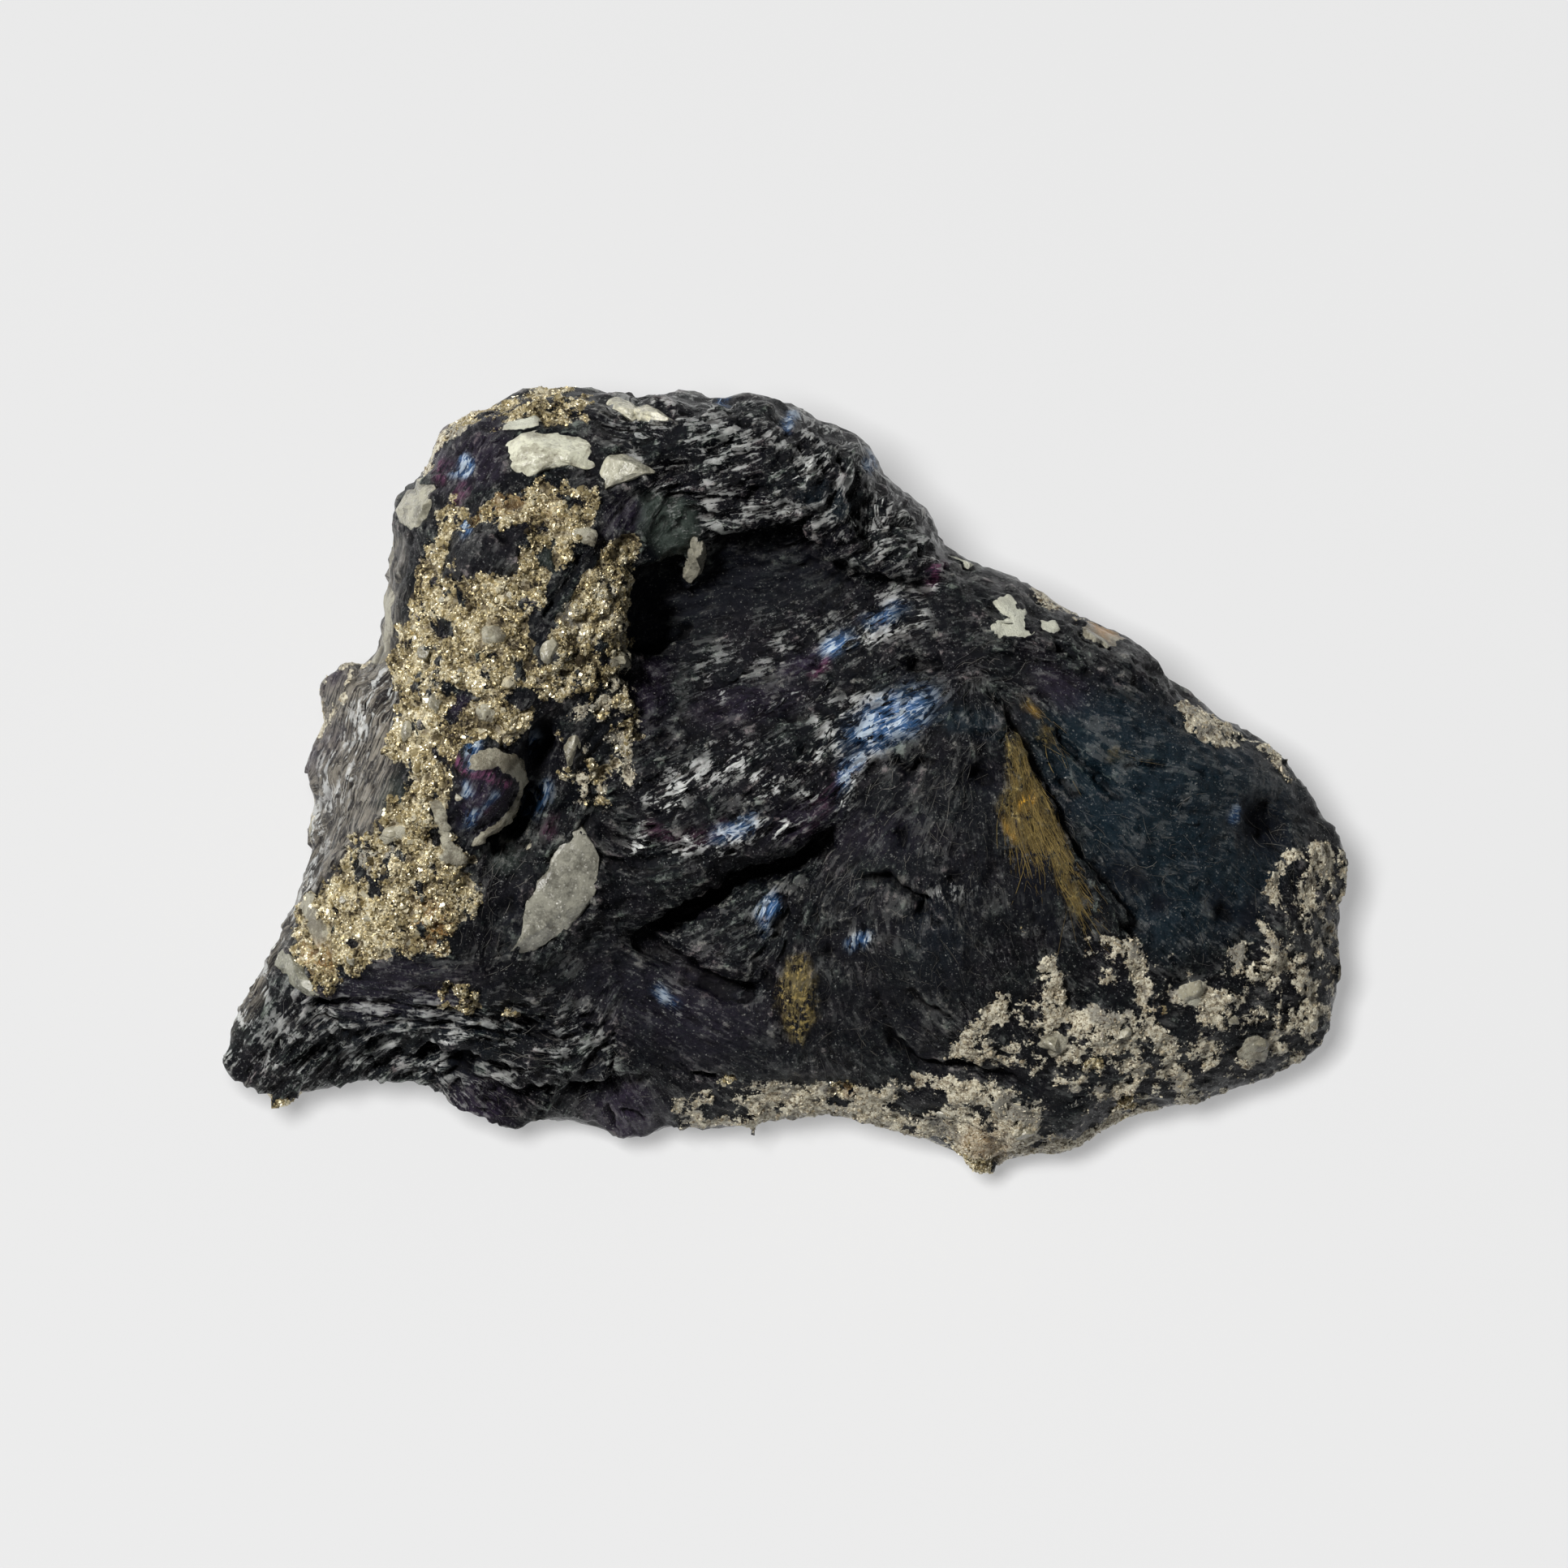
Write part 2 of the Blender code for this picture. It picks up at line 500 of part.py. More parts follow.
def face_sheet(bm, relief):
    points, edges, rim = face_layout(relief)
    laid, _, faces, *_ = delaunay_2d_cdt(points, edges, [rim], 1, SMALLEST_GAP)
    corners = []
    for point in laid:
        on_rim = distance_to_course(point, relief.rim)[0] < 10.0 * SMALLEST_GAP
        height = relief.rim_height(point) if on_rim else relief.height(point)
        corners.append(bm.verts.new((point.x, point.y, height)))
    for face in faces:
        bm.faces.new([corners[index] for index in face])


def broken_back(point):
    """A flank point brought back to any old break that it stands proud of."""
    for on_break, facing in BREAKS:
        normal = Vector(facing).normalized()
        proud = (point - Vector(on_break)).dot(normal)
        if proud > 0.0:
            point = point - proud * normal
    return point


def flank_point(relief, outline_point, share, depth):
    """Where a point of the outline stands once it is drawn in and down the flank."""
    flat = Vector(outline_point[:2])
    drawn = FLANK_CENTRE + share * (flat - FLANK_CENTRE)
    deeper = Vector((0.0, 0.0, depth))
    rough = FLANK_ROUGHNESS * noise.noise(outline_point / FLANK_SIZE + deeper)
    rough += FLANK_CHIPS * noise.noise(outline_point / FLANK_CHIP_SIZE + deeper)
    drawn += HOLLOW_SHARE * abs(rough) * (FLANK_CENTRE - drawn).normalized()
    level = relief.rim_height(flat) * (1.0 - depth / UNDERSIDE_DEPTH)
    return broken_back(Vector((drawn.x, drawn.y, level - depth + HOLLOW_SHARE * rough)))


def extrude_flank(bm, relief):
    """Draws the rim down and in, step by step, each ring following a smoother outline than the one above."""
    ring = [edge for edge in bm.edges if edge.is_boundary]
    outline = {vert: vert.co.copy() for edge in ring for vert in edge.verts}
    for share, depth in FLANK_STEPS:
        made = bmesh.ops.extrude_edge_only(bm, edges=ring)["geom"]
        ring = [item for item in made if isinstance(item, bmesh.types.BMEdge) and item.is_boundary]
        fresh = {vert for edge in ring for vert in edge.verts}
        linked = {vert: [edge.other_vert(vert) for edge in vert.link_edges] for vert in fresh}
        above = {vert: next(other for other in linked[vert] if other in outline) for vert in fresh}
        smoother = {}
        for vert in fresh:
            first, second = (outline[above[other]] for other in linked[vert] if other in fresh)
            smoother[vert] = 0.5 * outline[above[vert]] + 0.25 * (first + second)
        outline = smoother
        for vert in fresh:
            vert.co = flank_point(relief, outline[vert], share, depth)
    bmesh.ops.contextual_create(bm, geom=ring)


def lean_and_seat(bm):
    """Leans the face back and cuts the underside flat where the specimen rests."""
    for vert in bm.verts:
        vert.co = place(*vert.co)
    everything = bm.verts[:] + bm.edges[:] + bm.faces[:]
    cut = bmesh.ops.bisect_plane(bm, geom=everything, plane_co=(0, 0, 0), plane_no=(0, 0, -1), clear_outer=True)
    seat = [item for item in cut["geom_cut"] if isinstance(item, bmesh.types.BMEdge)]
    bmesh.ops.contextual_create(bm, geom=seat)


def finish(bm, name, material, collection):
    """Turns the faces outward and makes the object."""
    bmesh.ops.recalc_face_normals(bm, faces=bm.faces[:])
    mesh = bpy.data.meshes.new(name)
    bm.to_mesh(mesh)
    bm.free()
    mesh.materials.append(material)
    made = bpy.data.objects.new(name, mesh)
    collection.objects.link(made)
    return made


def make_mass(relief, collection):
    bm = bmesh.new()
    face_sheet(bm, relief)
    extrude_flank(bm, relief)
    lean_and_seat(bm)
    bmesh.ops.triangulate(bm, faces=bm.faces[:])
    covellite = make_material("covellite", (0.028, 0.032, 0.045), 0.38, 0.55)
    return finish(bm, "covellite_mass", covellite, collection)


# The quartz crystals
def crystal_hull(relief, crystal):
    """Flat facets between the sunk outline, the shoulder and the crest."""
    bm = bmesh.new()
    middle = sum((Vector(point) for point in crystal.outline), Vector((0, 0))) / len(crystal.outline)
    for outline_point in crystal.outline:
        point = Vector(outline_point)
        height = relief.height(point.lerp(middle, 0.25))
        bm.verts.new(place(*point.lerp(middle, 0.12), height - crystal.sink))
        bm.verts.new(place(*point, height + crystal.shoulder))
    for u, v, rise in crystal.crest:
        bm.verts.new(place(u, v, relief.height(Vector((u, v))) + rise))
    hull = bmesh.ops.convex_hull(bm, input=bm.verts[:])
    spare = {item for item in hull["geom_interior"] + hull["geom_unused"] if isinstance(item, bmesh.types.BMVert)}
    bmesh.ops.delete(bm, geom=list(spare), context="VERTS")
    return bm


def cut_pocket(mass, crystal_object, cutters):
    """Opens a pocket in the lump for a crystal, a little wider than the crystal."""
    pocket = bpy.data.objects.new("pocket_" + crystal_object.name, crystal_object.data.copy())
    cutters.objects.link(pocket)
    pocket.hide_render = True
    pocket.display_type = "WIRE"
    grow = pocket.modifiers.new("clearance", "DISPLACE")
    grow.mid_level = 0.0
    grow.strength = CRYSTAL_GAP * MM
    cut = mass.modifiers.new("pocket for " + crystal_object.name, "BOOLEAN")
    cut.operation = "DIFFERENCE"
    cut.object = pocket


def make_rim_pair(relief, quartz, collection, cutters):
    """Two crystals at the top rim that grew into each other, joined in one solid."""
    first, second = (
        finish(crystal_hull(relief, crystal), name, quartz, target)
        for crystal, name, target in zip(
            RIM_PAIR, ("quartz_upper_rim_crystals", "second_rim_crystal"), (collection, cutters)
        )
    )
    second.hide_render = True
    second.display_type = "WIRE"
    join = first.modifiers.new("grown together", "BOOLEAN")
    join.operation = "UNION"
    join.object = second
    return first, second


# Materials and collections
def make_material(name, colour, roughness, metallic):
    material = bpy.data.materials.new(name)
    material.use_nodes = True
    shader = material.node_tree.nodes["Principled BSDF"]
    shader.inputs["Base Color"].default_value = (*colour, 1.0)
    shader.inputs["Roughness"].default_value = roughness
    shader.inputs["Metallic"].default_value = metallic
    return material


def make_collection(name):
    collection = bpy.data.collections.new(name)
    bpy.context.scene.collection.children.link(collection)
    return collection


def main():
    for old in list(bpy.data.objects):
        bpy.data.objects.remove(old, do_unlink=True)
    specimen = make_collection("covellite specimen")
    cutters = make_collection("cutters")
    relief = Relief()
    mass = make_mass(relief, specimen)
    quartz = make_material("quartz", (0.62, 0.60, 0.50), 0.25, 0.0)
    for name, crystal in CRYSTALS.items():
        made = finish(crystal_hull(relief, crystal), name, quartz, specimen)
        cut_pocket(mass, made, cutters)
    for crystal_object in make_rim_pair(relief, quartz, specimen, cutters):
        cut_pocket(mass, crystal_object, cutters)


main()
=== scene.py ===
"""The looks of the covellite specimen: the skin of the lump, its grains, flakes and fibres, the quartz
set in it, and the light and camera.

Places on the show face are in millimetres in the face's own plane: u runs right, v up the face and
w out of it. Angles are in degrees, turning from u towards v.
"""

import itertools
import math

import bmesh
import bpy
import numpy as np
from mathutils import Matrix, Vector
from mathutils.bvhtree import BVHTree


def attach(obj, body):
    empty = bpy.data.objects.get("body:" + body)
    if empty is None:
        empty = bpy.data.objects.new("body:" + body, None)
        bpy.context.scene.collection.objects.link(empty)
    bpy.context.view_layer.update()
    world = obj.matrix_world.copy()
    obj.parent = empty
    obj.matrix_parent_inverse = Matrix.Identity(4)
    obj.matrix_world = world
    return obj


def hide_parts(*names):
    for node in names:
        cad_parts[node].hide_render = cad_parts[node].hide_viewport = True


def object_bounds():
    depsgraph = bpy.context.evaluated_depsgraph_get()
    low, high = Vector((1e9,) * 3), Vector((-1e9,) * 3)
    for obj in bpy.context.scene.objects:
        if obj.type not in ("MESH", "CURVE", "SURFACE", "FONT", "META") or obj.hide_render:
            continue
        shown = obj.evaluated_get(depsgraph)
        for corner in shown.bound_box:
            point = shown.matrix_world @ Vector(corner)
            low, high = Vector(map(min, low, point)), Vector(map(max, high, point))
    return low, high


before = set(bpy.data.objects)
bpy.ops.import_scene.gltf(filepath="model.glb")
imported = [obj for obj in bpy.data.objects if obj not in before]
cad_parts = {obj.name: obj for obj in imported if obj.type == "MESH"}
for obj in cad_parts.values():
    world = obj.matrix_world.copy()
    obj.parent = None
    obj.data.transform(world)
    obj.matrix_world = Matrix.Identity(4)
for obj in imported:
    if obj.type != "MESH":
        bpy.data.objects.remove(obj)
CAD_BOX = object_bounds()

# The show face in the frame: it leans back, and its own origin is the middle of the outline
MM = 0.001
FACE_LEAN = math.radians(14.0)
FACE_ORIGIN = np.array((-0.175, -0.50, 18.2))
FACE_AXES = np.array((
    (1.0, 0.0, 0.0),
    (0.0, math.cos(FACE_LEAN), math.sin(FACE_LEAN)),
    (0.0, -math.sin(FACE_LEAN), math.cos(FACE_LEAN)),
))

# How finely the skin of the lump is meshed
SKIN_GRID = 0.655
FINE_FACING = 0.28
MELT_ROUNDS = 8
SMOOTHING_ROUNDS = 14
RELIEF_ROUNDS = 6
SEAT_THICKNESS = 0.25
COLLAR_WIDTH = 0.8
COLLAR_HEIGHT = 0.55
RELIEF_HEIGHT = 0.20
POCKET_REACH = 0.62
BOX_MARGIN = np.array((0.5, 0.5, 0.0))


def to_face(points):
    """Points of the frame, in metres, as (u, v, w) places on the face."""
    return (np.asarray(points) / MM - FACE_ORIGIN) @ FACE_AXES.T


def from_face(places):
    """(u, v, w) places on the face as points of the frame, in metres."""
    return MM * (np.asarray(places) @ FACE_AXES + FACE_ORIGIN)


# Noise
LATTICE_PRIMES = np.array((73856093, 19349663, 83492791))
SEED_PRIME = 2654435761
MIXING_PRIME = 1274126177
WHOLE_NUMBERS = 0x7FFFFFFF
GRADIENTS = np.random.default_rng(7).normal(size=(256, 3))
GRADIENTS /= np.linalg.norm(GRADIENTS, axis=1, keepdims=True)


def cell_numbers(cells, seed):
    """A scattered whole number for each cell of a lattice."""
    mixed = ((cells * LATTICE_PRIMES).sum(axis=1) + seed * SEED_PRIME) & WHOLE_NUMBERS
    for _ in range(2):
        mixed = ((mixed ^ (mixed >> 13)) * MIXING_PRIME) & WHOLE_NUMBERS
    return mixed ^ (mixed >> 16)


def smooth_noise(points, seed=0):
    """Smooth noise between about -1 and 1, one swell to each unit of length."""
    base = np.floor(points).astype(np.int64)
    part = points - base
    ease = part**3 * (part * (part * 6.0 - 15.0) + 10.0)
    total = np.zeros(len(points))
    for corner in itertools.product((0, 1), repeat=3):
        gradient = GRADIENTS[cell_numbers(base + corner, seed) & 255]
        weight = np.prod(np.where(corner, ease, 1.0 - ease), axis=1)
        total += weight * np.einsum("ij,ij->i", gradient, part - corner)
    return 1.6 * total


def rough_noise(points, seed=0, octaves=3, gain=0.5):
    """Smooth noise with finer and fainter noise laid over it."""
    total = sum(gain**level * smooth_noise(points * 2.0**level, seed + level) for level in range(octaves))
    return total / sum(gain**level for level in range(octaves))


def scattered_cells(points, seed=0):
    """The gap to the nearest of some scattered centres, the offset from it, and its number."""
    base = np.floor(points).astype(np.int64)
    nearest = np.full(len(points), 9.0)
    away = np.zeros((len(points), 3))
    number = np.zeros(len(points), np.int64)
    for shift in itertools.product((-1, 0, 1), repeat=3):
        cell = base + shift
        drawn = cell_numbers(cell, seed)
        centre = cell + np.stack([(drawn >> step & 255) / 256.0 for step in (0, 8, 16)], axis=1)
        offset = points - centre
        gap = np.linalg.norm(offset, axis=1)
        closer = gap < nearest
        nearest = np.where(closer, gap, nearest)
        away = np.where(closer[:, None], offset, away)
        number = np.where(closer, drawn, number)
    return nearest, away, number


def ramp(value, low, high):
    share = np.clip((value - low) / (high - low), 0.0, 1.0)
    return share * share * (3.0 - 2.0 * share)


# Measuring on the face
def course_gap(uv, course):
    """The gap from each place to a run of straight stretches, its side, and how far along it lies."""
    course = np.asarray(course, float)
    lengths = np.linalg.norm(np.diff(course, axis=0), axis=1)
    walked = np.concatenate([[0.0], np.cumsum(lengths)])
    nearest = np.full(len(uv), 1e9)
    side = np.ones(len(uv))
    along = np.zeros(len(uv))
    for start, end, length, before in zip(course[:-1], course[1:], lengths, walked):
        run = end - start
        share = np.clip(((uv - start) @ run) / length**2, 0.0, 1.0)
        offset = uv - start - share[:, None] * run
        gap = np.hypot(offset[:, 0], offset[:, 1])
        closer = gap < nearest
        nearest = np.where(closer, gap, nearest)
        side = np.where(closer, np.sign(run[0] * offset[:, 1] - run[1] * offset[:, 0]), side)
        along = np.where(closer, (before + share * length) / walked[-1], along)
    return nearest, side, along


def depth_inside(uv, outline):
    """How far each place lies inside a closed outline, below zero outside it."""
    closed = np.asarray(tuple(outline) + tuple(outline[:1]), float)
    gap = course_gap(uv, closed)[0]
    hit = np.zeros(len(uv), bool)
    for (u0, v0), (u1, v1) in zip(closed[:-1], closed[1:]):
        if v0 != v1:
            crossing = u0 + (uv[:, 1] - v0) * (u1 - u0) / (v1 - v0)
            hit ^= ((v0 > uv[:, 1]) != (v1 > uv[:, 1])) & (uv[:, 0] < crossing)
    return np.where(hit, gap, -gap)


class Spot:
    """A round or long patch of the face: its place, half width, half length over half width, turn and weight."""

    def __init__(self, u, v, size, stretch=1.0, turn=0.0, weight=1.0):
        self.place = np.array((u, v))
        self.size = size
        self.stretch = stretch
        self.turn = math.radians(turn)
        self.weight = weight

    def cover(self, uv):
        offset = uv - self.place
        along = offset @ (math.cos(self.turn), math.sin(self.turn)) / (self.size * self.stretch)
        across = offset @ (-math.sin(self.turn), math.cos(self.turn)) / self.size
        return self.weight * np.exp(-((along**2 + across**2) ** 1.5))


def close_by(uv, course, reach):
    """Which places lie in the box round a course, with a margin."""
    low, high = np.min(course, axis=0) - reach, np.max(course, axis=0) + reach
    return ((uv > low) & (uv < high)).all(axis=1)


class Patch:
    """A patch of the face inside a closed outline, with a soft edge and a weight."""

    def __init__(self, outline, edge=0.8, weight=1.0):
        self.outline = outline
        self.edge = edge
        self.weight = weight

    def cover(self, uv):
        near = close_by(uv, self.outline, self.edge)
        total = np.zeros(len(uv))
        total[near] = self.weight * ramp(depth_inside(uv[near], self.outline), -self.edge, self.edge)
        return total


class Strip:
    """A strip of the face along a course, with a half width and a weight."""

    def __init__(self, course, half_width, weight=1.0):
        self.course = course
        self.half_width = half_width
        self.weight = weight

    def cover(self, uv):
        near = close_by(uv, self.course, 2.0 * self.half_width)
        total = np.zeros(len(uv))
        gap = course_gap(uv[near], self.course)[0] / self.half_width
        total[near] = self.weight * np.exp(-(gap**4))
        return total


def covered(uv, marks):
    """How far a group of spots, patches and strips covers each place."""
    return np.max([mark.cover(uv) for mark in marks], axis=0)


# Where the minerals are
PYRITE = (
    Patch(
        ((-28.2, 22.6), (-26.8, 23.4), (-25.6, 21.8), (-24.0, 23.4), (-21.5, 24.3), (-18.5, 24.6), (-15.2, 24.0),
         (-14.8, 20.8), (-12.2, 21.4), (-11.6, 19.5), (-12.2, 17.4), (-12.6, 14.8), (-12.5, 11.5), (-12.9, 9.2),
         (-15.5, 7.0), (-19.5, 6.3), (-21.3, 4.8), (-22.5, 3.0), (-24.3, 4.2), (-26.2, 3.0), (-27.2, 0.5),
         (-27.6, -2.0), (-26.9, -5.0), (-25.3, -6.2), (-27.5, -6.8), (-30.5, -5.2), (-33.5, -3.2), (-32.4, -1.0),
         (-31.4, 0.6), (-32.4, 2.5), (-31.8, 6.0), (-32.3, 11.0), (-30.5, 14.5), (-29.9, 18.0), (-28.6, 20.5)),
        edge=0.6,
    ),
    Patch(
        ((-34.0, -3.4), (-30.3, -3.6), (-27.0, -5.6), (-26.0, -7.2), (-24.6, -8.6), (-24.6, -10.6), (-26.6, -11.4),
         (-27.3, -13.8), (-29.5, -14.2), (-31.0, -15.0), (-34.0, -14.5), (-37.0, -16.7), (-38.7, -16.3),
         (-40.2, -12.5), (-39.3, -9.7), (-37.5, -7.5)),
    ),
    Patch(
        ((-26.8, 30.4), (-24.5, 31.8), (-21.0, 33.2), (-17.5, 33.0), (-15.8, 31.5), (-16.2, 29.6), (-18.5, 29.3),
         (-20.0, 29.6), (-22.0, 29.9), (-23.6, 29.0), (-25.5, 29.2)),
        edge=0.5, weight=0.66,
    ),
    Patch(
        ((-28.2, -16.4), (-25.3, -15.8), (-24.9, -18.0), (-24.8, -20.2), (-26.0, -19.2), (-28.2, -18.0)),
        edge=0.5, weight=0.8,
    ),
    Patch(
        ((-20.0, 9.5), (-12.6, 9.5), (-11.2, 7.5), (-11.6, 2.0), (-13.0, -1.0), (-16.5, -2.5), (-18.5, 0.2),
         (-15.5, 2.5), (-18.0, 5.5)),
        edge=1.5, weight=0.60,
    ),
    Spot(-22.4, -18.3, 0.7, 1.5, 30.0, 0.8),
    Spot(-29.8, -1.5, 2.0, 2.0, 80.0, 0.35), Spot(-23.4, 5.4, 1.6, 1.6, 20.0, 0.35), Spot(-17.2, 5.0, 1.6, 1.6, 60.0, 0.3),
    Spot(-26.5, 29.3, 1.2, 1.6, 35.0, 0.6),
    Spot(15.9, -31.0, 1.5, 1.3, -30.0),
    Spot(25.2, -23.0, 0.8, 1.0, 0.0, 0.9),
    Spot(27.6, -26.2, 1.0, 1.4, 20.0, 0.8),
    Spot(30.4, -18.8, 0.7, 2.0, 90.0, 0.7),
    Spot(19.8, -12.0, 0.6, 1.6, -60.0, 0.7),
    Spot(5.2, -24.9, 0.8, 1.5, 0.0, 0.7),
    Spot(-4.6, -24.3, 0.6, 1.3, 0.0, 0.7),
    Spot(-41.5, -26.0, 1.2, 2.0, 10.0, 0.6),
)
PYRITE_GAPS = (
    Patch(((-21.0, 12.5), (-17.5, 10.0), (-12.0, 12.5), (-11.0, 8.0), (-12.0, 2.0), (-19.0, 4.0)), edge=2.0, weight=0.32),
    Patch(((-24.5, 25.0), (-14.0, 25.0), (-14.0, 20.0), (-19.0, 18.5), (-24.0, 20.0)), edge=2.0, weight=0.22),
    Spot(-28.5, 8.0, 1.6, 1.5, 80.0, 0.25), Spot(-22.0, 9.5, 1.8, 1.4, 0.0, 0.25), Spot(-33.5, -7.5, 2.0, 1.5, 0.0, 0.2),
    Spot(-23.8, 19.2, 2.2, 1.55, 15.0, 1.6),
    Strip(((-19.9, 12.6), (-18.7, 15.0), (-17.0, 17.4), (-15.2, 20.0), (-13.2, 22.2)), 0.95, 1.5),
    Spot(-18.0, 7.2, 1.2, 1.6, 60.0, 0.8),
    Spot(-20.2, 2.4, 1.2, 1.6, 80.0, 1.0),
    Spot(-19.4, 18.6, 1.0, 1.6, 40.0, 0.7),
    Spot(-13.3, 22.6, 1.7, 1.3, 50.0),
    Spot(-28.2, 12.7, 0.9, 1.5, 0.0, 0.8),
    Spot(-28.0, 17.2, 0.9, 1.3, 30.0, 0.6),
    Spot(-21.3, 7.0, 0.9, 1.3, 0.0, 0.7),
    Strip(((-27.2, 5.2), (-26.3, 7.2)), 0.45, 0.9),
    Strip(((-22.8, 19.8), (-20.0, 20.2), (-18.6, 21.4)), 0.5, 0.6),
    Spot(-15.5, 8.5, 1.0, 1.2, 0.0, 0.6),
    Spot(-31.7, 0.0, 1.2, 1.5, 80.0, 0.6),
    Spot(-37.2, -10.3, 0.7, 1.5, -70.0, 0.8),
    Spot(-35.0, -13.0, 0.7, 1.2, 0.0, 0.7),
    Spot(-28.6, -4.6, 0.8, 1.3, 0.0, 0.9),
    Spot(-25.2, 0.2, 2.1, 1.3, 95.0),
)
CREAM = (
    Patch(
        ((-19.5, 14.0), (-15.0, 17.5), (-12.4, 17.0), (-12.6, 10.0), (-11.4, 6.5), (-12.0, 0.0), (-14.0, -3.0),
         (-18.0, -1.5), (-16.5, 4.0), (-20.5, 7.0)),
        edge=1.0, weight=0.44,
    ),
    Patch(((-31.5, 13.0), (-26.0, 14.0), (-22.0, 8.0), (-26.0, 4.0), (-31.5, 3.0)), edge=1.5, weight=0.32),
    Patch(((-30.6, 25.0), (-30.0, 27.6), (-28.8, 29.4), (-27.0, 30.6), (-25.2, 30.4), (-25.8, 28.6), (-27.8, 27.8),
           (-28.8, 26.6), (-28.9, 25.0)), edge=0.4, weight=0.74),
    Strip(((-34.4, 9.9), (-36.4, 9.5), (-38.1, 8.2), (-38.3, 6.2), (-38.0, 4.2)), 0.55, 0.8),
    Strip(((-38.2, 4.6), (-37.2, 5.4), (-36.0, 7.0), (-35.4, 9.0)), 0.25, 0.66),
    Strip(((-39.1, -0.2), (-38.6, -2.4), (-38.8, -4.6)), 0.45, 0.7),
    Patch(((-36.0, -4.5), (-30.0, -4.0), (-28.0, -8.0), (-33.0, -9.0), (-37.0, -8.0)), edge=1.0, weight=0.36),
    Patch(
        ((14.3, -20.5), (16.5, -16.8), (19.5, -17.0), (20.8, -13.8), (23.0, -12.7), (25.5, -12.4), (29.0, -12.6),
         (31.0, -14.0), (34.5, -14.5), (36.0, -12.8), (38.5, -12.5), (39.0, -9.0), (40.0, -7.0), (41.0, -5.0),
         (43.5, -3.5), (48.0, -5.5), (48.5, -8.0), (48.0, -20.0), (44.0, -24.5), (36.0, -28.5), (25.0, -31.5),
         (17.0, -33.0), (12.0, -30.0), (9.0, -24.5), (13.0, -22.5)),
        edge=0.9, weight=0.54,
    ),
    Patch(
        ((-9.5, -25.4), (-7.0, -24.8), (-4.0, -24.4), (0.0, -24.3), (4.0, -24.3), (9.0, -23.8), (13.0, -23.0),
         (20.0, -26.0), (27.0, -29.5), (22.0, -33.0), (14.0, -31.0), (0.0, -30.0), (-9.0, -30.5)),
        edge=0.6, weight=0.62,
    ),
    Strip(((-8.0, -28.3), (-2.0, -28.2), (4.0, -27.0), (9.0, -27.8), (13.5, -28.8), (22.0, -30.4), (30.0, -27.0)),
          1.3, 0.78),
    Patch(((32.1, 6.6), (33.5, 6.8), (36.9, 4.5), (36.5, 3.0), (34.2, 3.1), (33.2, 4.3)), edge=0.4, weight=0.85),
    Strip(((37.0, 3.6), (39.8, 2.9), (42.0, 0.6)), 0.9, 0.55),
    Strip(((20.3, 15.6), (23.0, 14.3), (25.0, 13.4)), 0.7, 0.6),
)
CREAM_BLOBS = (
    Spot(19.0, -28.5, 1.6), Spot(15.0, -25.5, 1.3, 1.3), Spot(28.0, -20.6, 1.5, 1.3, 20.0),
    Spot(43.5, -18.0, 1.6, 1.3, 40.0), Spot(22.0, -17.6, 1.1, 1.6, 60.0), Spot(29.0, -15.5, 0.9, 1.8, -70.0),
    Spot(16.0, -19.5, 1.3, 1.6, 50.0), Spot(42.6, -7.0, 1.0, 2.2, -75.0), Spot(38.5, -15.0, 1.2, 1.4, 30.0),
    Spot(35.4, -18.3, 0.9, 1.6, -60.0), Spot(1.0, -25.8, 1.4, 2.2, 5.0), Spot(21.5, -15.0, 0.7, 1.8, 70.0),
    Spot(31.5, -22.0, 1.3, 1.3), Spot(24.0, -20.0, 1.0, 1.5, 30.0), Spot(13.0, -24.6, 1.2, 1.8, -20.0),
)
CREAM_GAPS = (
    Strip(((9.0, -22.4), (14.0, -23.2), (17.0, -23.5), (21.0, -24.8), (23.5, -25.6)), 0.8, 1.0),
    Spot(23.0, -27.6, 1.4, 1.3, -20.0), Spot(37.0, -21.2, 1.0, 1.8, 60.0), Spot(40.6, -17.4, 1.5, 1.2, 30.0),
    Spot(32.3, -19.0, 1.2, 1.3), Spot(37.2, -24.0, 1.1, 1.6, 20.0), Spot(40.5, -10.6, 1.2, 1.3),
    Spot(17.6, -21.0, 0.8, 1.2, 80.0), Spot(24.5, -15.8, 1.3, 1.5, 20.0), Spot(33.0, -15.5, 1.2, 1.5),
    Spot(42.2, -6.9, 0.6, 1.3), Spot(36.0, -16.4, 1.0, 1.4), Spot(20.2, -19.0, 0.6, 1.8, 85.0),
    Spot(11.3, -26.0, 1.3, 1.4), Spot(-5.5, -26.3, 1.0, 1.6, 70.0), Spot(27.2, -17.3, 1.0, 1.3),
    Spot(30.0, -22.4, 0.7, 1.3), Spot(43.0, -22.0, 0.8, 1.6, -30.0), Spot(4.6, -24.4, 0.7, 1.6),
)

